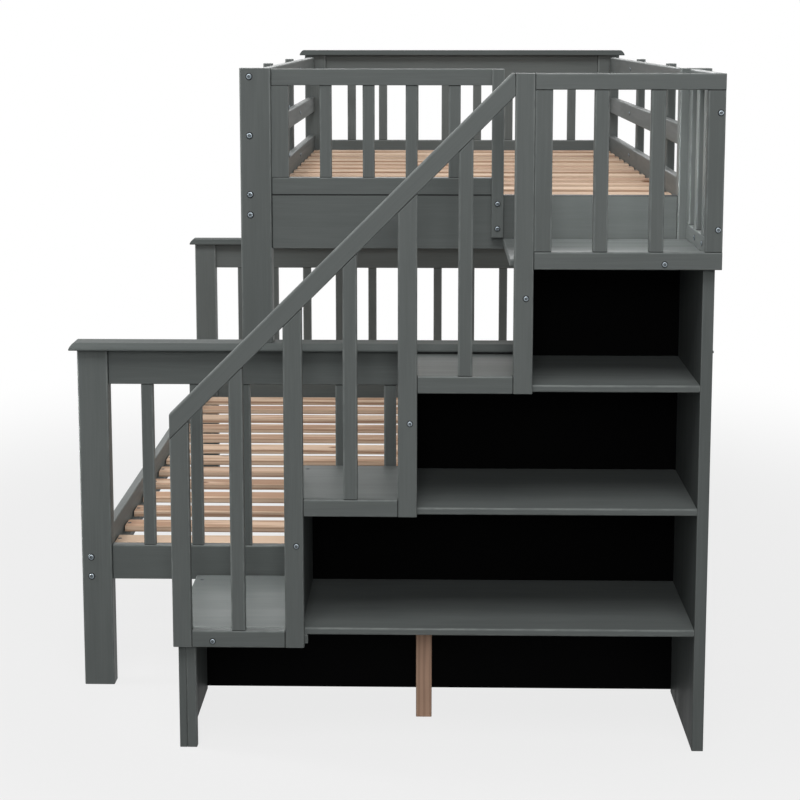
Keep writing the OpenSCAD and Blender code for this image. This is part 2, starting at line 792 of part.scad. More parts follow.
// Railing up the stairs
module slanted_upright(x, low) {
    upright_plate(rail_y, [[x[0], low], [x[1], low], [x[1], handrail_z(x[1])], [x[0], handrail_z(x[0])]]);
}

module railing_newels() {
    color(paint) difference() {
        union() {
            for (k = [1 : 3]) slanted_upright([newel_x(k), newel_x(k) + newel_w], bar_low(max(k - 1, 1)));
            span([newel_x(4), newel_x(4) + newel_w], rail_y, [bar_low(3), guard_top]);
        }
        screw_bores(railing_screws);
    }
}

module railing_balusters() {
    color(paint) for (k = [1 : 3]) {
        x = newel_x(k) + (newel_w + going - stair_baluster_w) / 2;
        slanted_upright([x, x + stair_baluster_w], bar_low(k) + bar_h);
    }
}

module railing_bars() {
    color(paint) difference() {
        for (k = [1 : 3])
            span([newel_x(k) + newel_w, newel_x(k + 1)], rail_y, [bar_low(k), bar_low(k) + bar_h]);
        screw_bores(railing_screws);
    }
}

module handrail() {
    x = [stair_x, newel_x(4)];
    color(paint) translate([0, rail_y[1], 0]) rotate([90, 0, 0]) linear_extrude(rail_t) intersection() {
        polygon([
            [x[0], handrail_z(x[0])], [x[1], handrail_z(x[1])],
            [x[1], handrail_z(x[1]) + handrail_h], [x[0], handrail_z(x[0]) + handrail_h]
        ]);
        translate([x[0], 0]) square([x[1] - x[0], guard_top]);
    }
}

// Guard round the platform
module platform_guard_bars() {
    x = [platform_stile_x[0], platform_x[1]];
    color(paint) difference() {
        union() {
            span(x, rail_y, [platform_bar_z, platform_upright_z[0]]);
            span(x, rail_y, [platform_upright_z[1], guard_top]);
        }
        screw_bores(platform_screws);
    }
}

module platform_guard_uprights() {
    color(paint) {
        for (x = platform_balusters)
            span([x - stair_baluster_w / 2, x + stair_baluster_w / 2], rail_y, platform_upright_z);
        for (x = platform_stile_x) difference() {
            span([x, x + platform_stile_w], rail_y, platform_upright_z);
            screw_bores(platform_screws);
        }
    }
}

module side_guard_bars() {
    color(paint) difference() {
        union() {
            span(side_guard_x, board_y, [board_top(4), side_upright_z[0]]);
            span(side_guard_x, board_y, [side_upright_z[1], guard_top]);
        }
        screw_bores(side_bar_screws);
        screw_bores(platform_screws);
    }
}

module side_guard_uprights() {
    half = stair_baluster_w / 2;
    color(paint) {
        for (y = side_guard_balusters) span(side_guard_x, [y - half, y + half], side_upright_z);
        difference() {
            span(side_guard_x, [board_y[0], side_guard_space[0]], side_upright_z);
            screw_bores(platform_screws);
        }
        span(side_guard_x, [side_guard_space[1], foot_y], side_upright_z);
    }
}

// Hardware
module bed_bolts() {
    color(zinc) for (bed = [lower_x, upper_x]) for (side = [0, 1]) for (b = bolts_of(bed, side))
        translate(b[0]) rotate(b[1]) socket_screw(bolt_d, bolt_l, bolt_head_d, bolt_head_h);
}

module barrel_nuts() {
    color(zinc) for (bed = [lower_x, upper_x]) for (side = [0, 1]) for (b = bolts_of(bed, side))
        difference() {
            nut_at(b, side, nut_d, 0);
            translate(b[0]) rotate(b[1]) bore(bolt_d, bolt_l);
        }
}

module wood_screws() {
    all_screws = concat(
        railing_screws, platform_screws, side_bar_screws, shelf_screws, lap_screws, end_stile_screws,
        side_stile_screws(0), side_stile_screws(1)
    );
    ledger_lists = [
        ledger_screws(lower_x, 0, lower_rail_z), ledger_screws(lower_x, 1, lower_rail_z),
        ledger_screws(upper_x, 0, upper_rail_z), ledger_screws(upper_x, 1, upper_rail_z)
    ];
    color(zinc) {
        for (s = all_screws)
            translate(s[0]) rotate(s[1]) socket_screw(screw_d, s[2], screw_head_d, screw_head_h);
        for (list = ledger_lists) for (s = list)
            translate(s[0]) rotate(s[1]) socket_screw(screw_d, s[2], screw_head_d, screw_head_h);
        for (p = tread_screws) translate(p) rotate(down) flat_screw(tread_screw_l);
    }
}

module slat_screws() {
    places = concat(slat_screws_of(lower_x, lower_rail_z), slat_screws_of(upper_x, upper_rail_z));
    color(zinc) for (p = places) translate(p) rotate(down) flat_screw(slat_screw_l);
}

module stacking_pins() {
    color(zinc) for (p = pin_places) translate([p[0], p[1], cap_z - pin_reach])
        cylinder(d = pin_d, h = cap_t + 2 * pin_reach, $fn = round_fn);
}

lower_post(0);  // lower_foot_post_left
lower_post(1);  // lower_foot_post_right
at_head() lower_post(0);  // lower_head_post_left
at_head() lower_post(1);  // lower_head_post_right
lower_cap();  // lower_foot_cap
at_head() lower_cap();  // lower_head_cap
lower_end_rail(1);  // lower_foot_top_rail
lower_end_rail(0);  // lower_foot_bottom_rail
lower_end_balusters();  // lower_foot_balusters
at_head() lower_end_rail(1);  // lower_head_top_rail
at_head() lower_end_rail(0);  // lower_head_bottom_rail
at_head() lower_end_balusters();  // lower_head_balusters
side_rail(lower_x, 0, lower_rail_z);  // lower_side_rail_left
side_rail(lower_x, 1, lower_rail_z);  // lower_side_rail_right
ledgers(lower_x, lower_rail_z);  // lower_ledgers
slats(lower_x, lower_rail_z);  // lower_slats
lower_centre_beam();
lower_centre_legs();
upper_post(0, [end_board_z]);  // upper_foot_post_left
upper_post(1, [end_board_z]);  // upper_foot_post_right
at_head() head_post(0);  // upper_head_post_left
at_head() head_post(1);  // upper_head_post_right
upper_foot_board();
at_head() upper_head_rail(0);  // upper_head_board
at_head() upper_head_rail(1);  // upper_head_top_rail
at_head() color(paint) cap(upper_x, upper_top);  // upper_head_cap
at_head() upper_head_balusters();
side_rail(upper_x, 0, upper_rail_z);  // upper_side_rail_left
side_rail(upper_x, 1, upper_rail_z);  // upper_side_rail_right
ledgers(upper_x, upper_rail_z);  // upper_ledgers
slats(upper_x, upper_rail_z);  // upper_slats
guard_bars(0);  // left_guard_bars
guard_stiles(0);  // left_guard_stiles
guard_bars(1);  // right_guard_bars
guard_stiles(1);  // right_guard_stiles
end_guard_rails();
end_guard_uprights();
stair_left_panel();
stair_right_panel();
stair_risers();
stair_back_panels();
stair_battens();
shelf_leg();
stair_board(1);  // tread_1
stair_board(2);  // tread_2
stair_board(3);  // tread_3
stair_board(4);  // platform
railing_newels();
railing_balusters();
railing_bars();
handrail();
platform_guard_bars();
platform_guard_uprights();
side_guard_bars();
side_guard_uprights();
bed_bolts();
barrel_nuts();
wood_screws();
slat_screws();
stacking_pins();
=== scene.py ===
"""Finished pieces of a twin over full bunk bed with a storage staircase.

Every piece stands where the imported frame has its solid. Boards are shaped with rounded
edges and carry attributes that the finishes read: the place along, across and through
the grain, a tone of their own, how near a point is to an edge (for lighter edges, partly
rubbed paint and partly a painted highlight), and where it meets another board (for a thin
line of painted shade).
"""

import logging
import math
import random
from dataclasses import dataclass, field
from enum import Enum
from typing import Callable, Iterable, Optional, Sequence

import bmesh
import bpy
import numpy as np
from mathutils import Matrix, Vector


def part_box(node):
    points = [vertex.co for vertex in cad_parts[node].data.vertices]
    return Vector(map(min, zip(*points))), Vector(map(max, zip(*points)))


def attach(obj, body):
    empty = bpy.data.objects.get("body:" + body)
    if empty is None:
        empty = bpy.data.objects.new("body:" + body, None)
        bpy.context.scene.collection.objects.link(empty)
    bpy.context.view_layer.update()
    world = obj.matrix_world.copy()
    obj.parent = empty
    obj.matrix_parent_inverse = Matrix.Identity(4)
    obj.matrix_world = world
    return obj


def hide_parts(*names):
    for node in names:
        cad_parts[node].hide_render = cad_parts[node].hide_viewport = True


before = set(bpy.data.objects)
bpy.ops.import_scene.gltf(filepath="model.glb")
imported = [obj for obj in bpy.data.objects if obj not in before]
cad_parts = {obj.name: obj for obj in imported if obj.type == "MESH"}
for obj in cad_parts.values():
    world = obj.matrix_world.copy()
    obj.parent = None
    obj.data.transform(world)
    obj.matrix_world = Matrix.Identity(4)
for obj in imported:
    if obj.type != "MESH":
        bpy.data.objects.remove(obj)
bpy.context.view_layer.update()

ROOT = "root"
SUFFIX = "_finished"
MM = 0.001
SAME_PLACE = 0.01 * MM
SAME_FACE = 0.1 * MM
END_FACING = 0.3

Point = tuple[float, float, float]
Colour = tuple[float, float, float, float]
Range = tuple[float, float]
Shape = bmesh.types.BMesh
Edge = bmesh.types.BMEdge
Material = bpy.types.Material
Node = bpy.types.Node
Piece = bpy.types.Object
Socket = bpy.types.NodeSocket
Tree = bpy.types.NodeTree
WHITE = (1.0, 1.0, 1.0, 1.0)
log = logging.getLogger("bunk_bed")


class Grain(Enum):
    """Way in which the grain of a board runs."""

    ACROSS = (1.0, 0.0, 0.0)
    ALONG = (0.0, 1.0, 0.0)
    UP = (0.0, 0.0, 1.0)


class Ends(Enum):
    """Ends of a board that meet other boards and get a thin line of painted shade, as signs along its grain."""

    NONE = ()
    LOW = (-1.0,)
    HIGH = (1.0,)
    BOTH = (-1.0, 1.0)


@dataclass(frozen=True)
class Cut:
    """How a board is cut: its grain, and the radii of its long edges and of its ends."""

    grain: Grain | Vector
    edge: float
    end: float
    ends: Ends = Ends.BOTH

    @property
    def way(self) -> Vector:
        """Direction of the grain."""
        return Vector(self.grain.value) if isinstance(self.grain, Grain) else self.grain


class Head(Enum):
    """Head and socket of a fastener, as rings with shares of the radius, the height and painted shade, which darkens
    the socket and the ring at the wood.
    """

    DOMED = (
        ((1.3, 0.0, 1.0), (1.3, 0.06, 1.0), (1.03, 0.08, 1.0), (1.0, 0.14, 1.0), (1.0, 0.42, 0.25),
         (0.95, 0.68, 0.0), (0.84, 0.88, 0.0), (0.7, 1.0, 0.0)),
        ((1.15, 1.0, 0.35), (1.0, 0.93, 1.0), (0.97, 0.35, 1.0), (0.5, 0.25, 0.45)))
    FLUSH = (
        ((1.0, 0.0, 1.0), (1.0, 0.55, 1.0), (0.94, 1.0, 0.75)),
        ((1.12, 1.0, 0.7), (1.0, 0.93, 1.0), (0.97, 0.3, 1.0), (0.5, 0.2, 1.0)))


def srgb(*levels: int) -> Colour:
    """Linear colour for the red, green and blue levels, from 0 to 255, that a screen shows."""
    shares = [level / 255 for level in levels]
    return (*(share / 12.92 if share <= 0.04045 else ((share + 0.055) / 1.055) ** 2.4 for share in shares), 1.0)


# Solids of the frame


@dataclass(frozen=True)
class Solid:
    """One solid of a CAD node, as its points."""

    points: np.ndarray

    @property
    def low(self) -> Vector:
        """Lowest corner."""
        return Vector(self.points.min(0))

    @property
    def high(self) -> Vector:
        """Highest corner."""
        return Vector(self.points.max(0))

    @property
    def middle(self) -> Vector:
        """Middle of the solid's box."""
        return (self.low + self.high) / 2

    def box(self, trim: Sequence[float] = (0.0, 0.0, 0.0)) -> list[Point]:
        """Corners of the solid's box, without its tenons, whose lengths on each axis are given."""
        low, high = self.low + Vector(trim), self.high - Vector(trim)
        return [(x, y, z) for x in (low.x, high.x) for y in (low.y, high.y) for z in (low.z, high.z)]

    def slanted(self) -> list[Point]:
        """Corners of an upright with a sloping top.

        Returns:
            Eight corners, with the heights at the left face and then those at the right one.
        """
        corners = []
        low, high = self.low, self.high
        for x in (low.x, high.x):
            heights = self.points[np.abs(self.points[:, 0] - x) < SAME_FACE][:, 2]
            corners += [(x, y, float(z)) for y in (low.y, high.y) for z in (heights.min(), heights.max())]
        return corners


def solids_of(node: str) -> list[Solid]:
    """Splits a CAD node into its solids.

    Args:
        node: Name of the node.

    Returns:
        The solids, ordered by their middles along X, Y and Z.
    """
    copy = bmesh.new()
    copy.from_mesh(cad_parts[node].data)
    bmesh.ops.remove_doubles(copy, verts=copy.verts, dist=SAME_PLACE)
    left, found = set(copy.verts), []
    while left:
        group, front = [], [left.pop()]
        while front:
            vert = front.pop()
            group.append(vert.co[:])
            near = {edge.other_vert(vert) for edge in vert.link_edges} & left
            left -= near
            front.extend(near)
        found.append(Solid(np.array(sorted(group))))
    copy.free()
    return sorted(found, key=lambda solid: tuple(round(part, 4) for part in solid.middle))


# Shaped boards


@dataclass
class Draft:
    """Collects shaped boards, and makes one mesh of them."""

    name: str
    # Width of the thin line of painted shade where boards meet.
    shade_line_w: float = 1.3 * MM
    rim_w: float = 2 * MM
    along: float = 0.95
    edge_steps: int = 3
    end_steps: int = 2
    flat_angle: float = math.radians(1)
    end_angle: float = math.radians(25)
    points: list[Point] = field(default_factory=list)
    faces: list[tuple[int, ...]] = field(default_factory=list)
    carried: dict[str, list] = field(default_factory=lambda: {"grain": [], "rim": [], "joint": [], "tone": []})

    def mark_seam(self, height: float) -> None:
        """Paints shade on the edges that meet at a height, as a thin dark line along the boards.

        Args:
            height: Height of the line.
        """
        for index, point in enumerate(self.points):
            if abs(point[2] - height) < self.shade_line_w:
                self.carried["joint"][index] = 1.0

    def board(self, corners: Iterable[Point], cut: Cut) -> None:
        """Adds a convex board with rounded edges, and a thin line of painted shade where its ends meet others.

        Args:
            corners: Corners of the board.
            cut: How it is cut.
        """
        way = cut.way
        shape = bmesh.new()
        given = np.array([tuple(corner) for corner in corners])
        low, high = Vector(given.min(0)), Vector(given.max(0))
        bmesh.ops.convex_hull(shape, input=[shape.verts.new(corner) for corner in given])
        bmesh.ops.dissolve_limit(shape, angle_limit=self.flat_angle, verts=shape.verts, edges=shape.edges)
        middle = sum((vert.co for vert in shape.verts), Vector()) / len(shape.verts)
        long_edges = [e for e in shape.edges if abs(edge_way(e).dot(way)) > self.along]
        round_off(shape, long_edges, cut.edge, self.edge_steps)
        end_edges = [
            e for e in shape.edges
            if abs(edge_way(e).dot(way)) < self.along and e.calc_face_angle(0.0) > self.end_angle
        ]
        round_off(shape, end_edges, cut.end, self.end_steps)
        flats = [f for f in shape.faces if f.calc_area() > 4 * self.rim_w * max(e.calc_length() for e in f.edges)]
        bmesh.ops.inset_individual(shape, faces=flats, thickness=self.rim_w)
        bmesh.ops.recalc_face_normals(shape, faces=shape.faces)
        rim = shape.verts.layers.float.new("rim")
        joint = shape.verts.layers.float.new("joint")
        inner = {vert for face in flats for vert in face.verts}
        for vert in shape.verts:
            vert[rim] = 0.0 if vert in inner else 1.0
        paint_end_shade(shape, cut, joint, self.shade_line_w)
        side = way.cross(Vector((0, 1, 0))) if abs(way.y) < 0.5 else Vector((1, 0, 0))
        through = way.cross(side)
        start = len(self.points)
        random_tone = random.Random(f"{self.name}{start}").random()
        shape.verts.index_update()
        for vert in shape.verts:
            vert.co = Vector([min(max(vert.co[axis], low[axis]), high[axis]) for axis in range(3)])
            place = vert.co - middle
            self.points.append(vert.co[:])
            values = ((place.dot(way), place.dot(side), place.dot(through)), vert[rim], vert[joint], random_tone)
            for kept, value in zip(self.carried.values(), values):
                kept.append(value)
        self.faces += [tuple(start + vert.index for vert in face.verts) for face in shape.faces]
        shape.free()

    def piece(self, finish: Material, own_tone: bool = True) -> Piece:
        """Makes the object, with no tones where it is the master of a row, whose copies get them later."""
        carried = {name: values for name, values in self.carried.items() if values and (own_tone or name != "tone")}
        return make_piece(self.name, self.points, self.faces, finish, **carried)


def paint_end_shade(shape: Shape, cut: Cut, layer: bmesh.types.BMLayerItem, width: float) -> None:
    """Marks the points round the ends of a board for a thin line of painted shade, and cuts it where the mark fades
    out.

    Args:
        shape: Mesh of the board.
        cut: How it is cut.
        layer: Layer of points that gets the mark.
        width: Width of the mark beside the rounded ends.
    """
    places = []
    for sign in cut.ends.value:
        side = [face for face in shape.faces if face.normal.dot(cut.way) * sign > END_FACING]
        widest = max(side, key=lambda face: face.calc_area())
        places.append((widest.calc_center_median() - widest.normal * (cut.end + width), widest.normal.copy()))
        for vert in {vert for face in side for vert in face.verts}:
            vert[layer] = 1.0
    for place, normal in places:
        whole = shape.verts[:] + shape.edges[:] + shape.faces[:]
        split = bmesh.ops.bisect_plane(shape, geom=whole, dist=SAME_PLACE, plane_co=place, plane_no=normal)
        for part in split["geom_cut"]:
            if isinstance(part, bmesh.types.BMVert):
                part[layer] = 0.0


def edge_way(edge: Edge) -> Vector:
    """Direction of an edge."""
    return (edge.verts[1].co - edge.verts[0].co).normalized()


def round_off(shape: Shape, edges: list[Edge], radius: float, steps: int) -> None:
    """Rounds edges with a radius, in a number of steps over a corner."""
    if edges and radius > 0:
        bmesh.ops.bevel(shape, geom=edges, offset=radius, offset_type="OFFSET", segments=steps,
            profile=0.5, affect="EDGES", clamp_overlap=True)


def make_piece(name: str, points: Sequence[Point], faces: Sequence[tuple[int, ...]], finish: Material,
               **carried: Sequence) -> Piece:
    """Makes a mesh and places it in the scene as an object at the origin.

    Args:
        name: Name of the object.
        points: Points of the mesh.
        faces: Points of each face, by their numbers.
        finish: Material of the mesh.
        **carried: A number or a vector for each point, by the attribute's name.

    Returns:
        The object.
    """
    mesh = bpy.data.meshes.new(name)
    mesh.from_pydata(points, [], faces)
    for key, values in carried.items():
        array = np.array(values, np.float32)
        kind, field_name = ("FLOAT_VECTOR", "vector") if array.ndim > 1 else ("FLOAT", "value")
        mesh.attributes.new(key, kind, "POINT").data.foreach_set(field_name, array.ravel())
    mesh.shade_smooth()
    mesh.materials.append(finish)
    made = bpy.data.objects.new(name, mesh)
    bpy.context.scene.collection.objects.link(made)
    return made


# Node trees

PATTERN_SHIFT = (7.1, 3.3, 5.7)


def live(node: Node) -> Socket:
    """First output that the node's settings leave on."""
    return next(out for out in node.outputs if out.enabled)


@dataclass
class Bench:
    """Adds and joins the nodes of one tree."""

    tree: Tree

    def add(self, kind: str, settings: Optional[dict] = None, **inputs) -> Node:
        """Adds a node.

        Args:
            kind: Type of the node.
            settings: Properties of the node.
            **inputs: Values or sockets, by the input's name with _ for a space.

        Returns:
            The node.
        """
        node = self.tree.nodes.new(kind)
        for key, value in (settings or {}).items():
            setattr(node, key, value)
        for key, value in inputs.items():
            self.put(node, key.replace("_", " "), value)
        return node

    def put(self, node: Node, name: str | int, value: object) -> None:
        """Sets an input or joins a socket to it.

        Args:
            node: Node that has the input.
            name: Name or number of the input.
            value: A value or an output socket.
        """
        inputs = node.inputs
        socket = inputs[name] if isinstance(name, int) else next(s for s in inputs if s.name == name and s.enabled)
        if isinstance(value, Socket):
            self.tree.links.new(value, socket)
        else:
            socket.default_value = value

    def numbered(self, kind: str, values: Sequence[object], **settings: object) -> Node:
        """Adds a node whose inputs are given by their numbers.

        Args:
            kind: Type of the node.
            values: Its inputs, as values or sockets.
            **settings: Properties of the node.

        Returns:
            The node.
        """
        node = self.add(kind, settings)
        for index, value in enumerate(values):
            self.put(node, index, value)
        return node

    def math(self, operation: str, *values: object) -> Socket:
        """Result of an operation on numbers."""
        return self.numbered("ShaderNodeMath", values, operation=operation).outputs[0]

    def vector(self, operation: str, *values: object) -> Socket:
        """Result of an operation on vectors."""
        return self.numbered("ShaderNodeVectorMath", values, operation=operation).outputs[0]

    def blended_sum(self, *parts: tuple[object, float]) -> Socket:
        """Adds up values.

        Args:
            *parts: Each value with its weight.

        Returns:
            The output socket.
        """
        total = 0.0
        for value, weight in parts:
            total = self.math("MULTIPLY_ADD", value, weight, total)
        return total

    def bump(self, shader: Node, height: Socket, strength: float, depth: float) -> None:
        """Gives a shader relief of a height, with its strength and the depth of a height of 1."""
        relief = self.add("ShaderNodeBump", Strength=strength, Distance=depth, Height=height)
        self.put(shader, "Normal", relief.outputs[0])

    def seen(self) -> Socket:
        """Whether a ray comes from the camera, straight or by way of gloss or glass, as 1 or 0."""
        path = self.add("ShaderNodeLightPath").outputs
        return self.math("MAXIMUM", path["Is Camera Ray"],
            self.math("MAXIMUM", path["Is Glossy Ray"], path["Is Transmission Ray"]))

    def mix(self, share: Socket, first: Node, second: Node) -> Socket:
        """Mixes two shaders by the share of the second one."""
        return self.numbered("ShaderNodeMixShader", (share, first.outputs[0], second.outputs[0])).outputs[0]

    def ease(self, value: Socket, low: float, high: float, start: float = 0.0, stop: float = 1.0) -> Socket:
        """Maps the range from low to high smoothly to the one from start to stop."""
        return self.add("ShaderNodeMapRange", {"interpolation_type": "SMOOTHSTEP"}, Value=value,
            From_Min=low, From_Max=high, To_Min=start, To_Max=stop).outputs[0]

    def blend(self, share: object, first: object, second: object, kind: str = "MIX") -> Socket:
        """Mixes two colours by the share of the second one, in a way that kind names."""
        return live(self.add("ShaderNodeMix", {"data_type": "RGBA", "blend_type": kind},
            Factor=share, A=first, B=second))

    def noise(self, place: object, stretch: Point, detail: float = 3.0, warp: float = 0.0) -> Socket:
        """Noise in a place, with a number of features for each metre on each axis."""
        at = self.vector("MULTIPLY", place, stretch)
        return self.add("ShaderNodeTexNoise", Vector=at, Scale=1.0, Detail=detail, Distortion=warp).outputs[0]

    def board_place(self) -> tuple[Socket, Socket, Socket]:
        """Place in the grain, shifted for each board, and the board's tone and rim."""
        tone, rim = self.carried("tone", "Fac"), self.carried("rim", "Fac")
        return self.vector("MULTIPLY_ADD", tone, PATTERN_SHIFT, self.carried("grain", "Vector")), tone, rim

    def carried(self, name: str, output: str) -> Socket:
        """Attribute that a board carries."""
        return self.add("ShaderNodeAttribute", {"attribute_name": name}).outputs[output]


def new_material(name: str) -> tuple[Material, Bench, Node]:
    """Starts a material.

    Args:
        name: Name of the material.

    Returns:
        The material, its bench and its principled shader.
    """
    made = bpy.data.materials.new(name)
    made.use_nodes = True
    made.node_tree.nodes.clear()
    bench = Bench(made.node_tree)
    shader = bench.add("ShaderNodeBsdfPrincipled")
    bench.add("ShaderNodeOutputMaterial", Surface=shader.outputs[0])
    return made, bench, shader


# Finishes


@dataclass(frozen=True)
class PaintFinish:
    """Gray paint that lets the wood's grain show faintly, with features for each metre along and across it."""

    name: str = "gray_paint_satin"
    dark: Colour = srgb(83, 87, 86)
    light: Colour = srgb(90, 94, 93)
    # Lighter colour of the rounded edges: partly rubbed paint, partly a painted highlight.
    worn_lit_edge: Colour = srgb(122, 127, 125)
    # Colour of the thin dark lines where boards meet: painted shade in the gaps between them.
    seam_shade: Colour = srgb(26, 28, 28)
    edge_lightening: float = 0.4
    specular: float = 0.14
    fibres: Point = (9, 260, 260)
    figures: Point = (1.6, 22, 22)
    clouds: Point = (5, 7, 7)
    peel: Point = (700, 700, 700)
    edge_breaks: Point = (30, 90, 90)
    contrast: Range = (0.32, 0.68)
    roughness: Range = (0.44, 0.56)
    relief: float = 0.16
    depth: float = 0.5 * MM

    def material(self) -> Material:
        """Builds the material.

        Returns:
            The paint.
        """
        made, bench, shader = new_material(self.name)
        place, tone, rim = bench.board_place()
        fibre = bench.noise(place, self.fibres, 4.0)
        figure = bench.noise(place, self.figures, 3.0, 1.2)
        cloud = bench.noise(place, self.clouds, 2.0)
        peel = bench.noise(place, self.peel, 1.0)
        mixed = bench.blended_sum((fibre, 0.45), (figure, 0.35), (cloud, 0.2), (tone, 0.16), (1.0, -0.08))
        colour = bench.blend(bench.ease(mixed, *self.contrast), self.dark, self.light)
        # Lighter rounded edges, broken up by noise: partly rubbed paint, partly a painted highlight.
        broken = bench.ease(bench.noise(place, self.edge_breaks, 4.0), 0.35, 0.62, 0.25, 1.0)
        worn_lit_edge = bench.math("MULTIPLY", bench.math("MULTIPLY", rim, broken), self.edge_lightening)
        colour = bench.blend(worn_lit_edge, colour, self.worn_lit_edge)
        # Thin dark lines where boards meet: painted shade standing in for the shadow in the gaps.
        joint = bench.ease(bench.carried("joint", "Fac"), 0.25, 0.85)
        bench.put(shader, "Base Color", bench.blend(joint, colour, self.seam_shade))
        bench.put(shader, "Roughness", bench.ease(figure, 0.3, 0.7, *self.roughness))
        bench.put(shader, "Specular IOR Level", self.specular)
        bench.bump(shader, bench.blended_sum((fibre, 0.8), (peel, 0.12)), self.relief, self.depth)
        return made


@dataclass(frozen=True)
class WoodFinish:
    """Bare softwood with growth rings, fibres and a few knots."""

    name: str
    early: Colour
    late: Colour
    knot: Colour
    ring_share: float = 0.75
    tone_share: float = 0.22
    # Share of the lighter early colour on the edges: partly rubbed wood, partly a painted highlight on the lit
    # edges.
    rubbed_lit_edge: float = 0.5
    specular: float = 0.06
    rings: Point = (1.6, 26, 26)
    fibres: Point = (14, 520, 520)
    clouds: Point = (2.2, 9, 9)
    ring_scale: float = 0.9
    ring_warp: float = 5.5
    knots: Point = (5, 9, 9)
    knot_size: Range = (0.05, 0.12)
    knot_share: float = 0.85
    roughness: Range = (0.62, 0.8)
    relief: float = 0.35
    depth: float = 0.5 * MM

    def material(self) -> Material:
        """Builds the material.

        Returns:
            The bare wood.
        """
        made, bench, shader = new_material(self.name)
        place, tone, rim = bench.board_place()
        wave = bench.add("ShaderNodeTexWave", {"wave_type": "BANDS", "bands_direction": "Y"},
            Vector=bench.vector("MULTIPLY", place, self.rings), Scale=self.ring_scale, Distortion=self.ring_warp,
            Detail=3.0, Detail_Scale=1.1)
        rings = bench.ease(wave.outputs["Fac"], 0.25, 0.95)
        fibre = bench.noise(place, self.fibres, 4.0)
        cloud = bench.noise(place, self.clouds, 2.0)
        share = bench.blended_sum((rings, self.ring_share), (fibre, 0.5), (1.0, -0.2))
        colour = bench.blend(bench.ease(share, 0.0, 0.95), self.early, self.late)
        knots = bench.add("ShaderNodeTexVoronoi", {"feature": "F1"},
            Vector=bench.vector("MULTIPLY", place, self.knots), Scale=1.0, Randomness=1.0)
        spot = bench.ease(knots.outputs["Distance"], *self.knot_size, 1.0, 0.0)
        colour = bench.blend(bench.math("MULTIPLY", spot, self.knot_share), colour, self.knot)
        level = bench.blended_sum((tone, self.tone_share), (cloud, 0.2), (1.0, 0.9 - self.tone_share / 2))
        shaded = bench.add("ShaderNodeCombineColor", Red=level, Green=level, Blue=level)
        colour = bench.blend(1.0, colour, shaded.outputs[0], "MULTIPLY")
        # Edges take the lighter early colour: partly rubbed wood, partly a painted highlight.
        bench.put(shader, "Base Color", bench.blend(bench.math("MULTIPLY", rim, self.rubbed_lit_edge), colour, self.early))
        bench.put(shader, "Roughness", bench.ease(fibre, 0.2, 0.8, *self.roughness))
        bench.put(shader, "Specular IOR Level", self.specular)
        bench.bump(shader, bench.blended_sum((fibre, 0.8), (rings, 0.3)), self.relief, self.depth)
        return made


@dataclass(frozen=True)
class ShadeBlackFinish:
    """Thin board with a dull black face, which is painted shade: it stands in for the deep shade inside the stair
    compartments.
    """

    name: str = "black_board_dull"
    dark: Colour = srgb(1, 1, 1)
    light: Colour = srgb(7, 7, 8)
    specular: float = 0.03
    specks: Point = (420, 420, 420)
    clouds: Point = (4, 6, 6)
    roughness: Range = (0.7, 0.9)
    relief: float = 0.15
    depth: float = 0.2 * MM

    def material(self) -> Material:
        """Builds the material.

        Returns:
            The black face.
        """
        made, bench, shader = new_material(self.name)
        place, tone, rim = bench.board_place()
        speck = bench.noise(place, self.specks, 3.0)
        cloud = bench.noise(place, self.clouds, 3.0)
        share = bench.blended_sum((bench.ease(speck, 0.5, 0.8), 0.5), (cloud, 0.4), (tone, 0.04))
        bench.put(shader, "Base Color", bench.blend(share, self.dark, self.light))
        bench.put(shader, "Roughness", bench.ease(bench.math("ADD", speck, rim), 0.2, 1.6, *self.roughness))
        bench.put(shader, "Specular IOR Level", self.specular)
        bench.bump(shader, speck, self.relief, self.depth)
        return made


@dataclass(frozen=True)
class ZincFinish:
    """Zinc plated steel that is turned, with painted shade in its sockets and round its heads."""

    name: str = "zinc_plated_steel"
    bright: Colour = srgb(150, 159, 165)
    dull: Colour = srgb(112, 121, 127)
    socket_shade: Colour = srgb(13, 14, 15)
    turning: Point = (400, 400, 2600)
    clouds: Point = (160, 160, 160)
    metallic: float = 0.9
    roughness: Range = (0.36, 0.52)
    relief: float = 0.12
    depth: float = 0.1 * MM

    def material(self) -> Material:
        """Builds the material.

        Returns:
            The plated steel.
        """
        made, bench, shader = new_material(self.name)
        place, tone, rim = bench.board_place()
        brushed = bench.noise(place, self.turning, 3.0)
        cloud = bench.noise(place, self.clouds, 2.0)
        share = bench.ease(bench.blended_sum((brushed, 0.6), (cloud, 0.4)), 0.35, 0.65)
        colour = bench.blend(share, self.dull, self.bright)
        # The rim attribute of a fastener carries its painted shade: dark in the socket and round the ring where the
        # head meets the wood.
        bench.put(shader, "Base Color", bench.blend(rim, colour, self.socket_shade))
        bench.put(shader, "Metallic", bench.ease(rim, 0.2, 0.9, self.metallic, 0.0))
        gloss = bench.ease(bench.blended_sum((cloud, 1.0), (tone, 0.1)), 0.3, 0.8, *self.roughness)
        bench.put(shader, "Roughness", bench.math("MULTIPLY_ADD", rim, 0.5, gloss))
        bench.bump(shader, brushed, self.relief, self.depth)
        return made


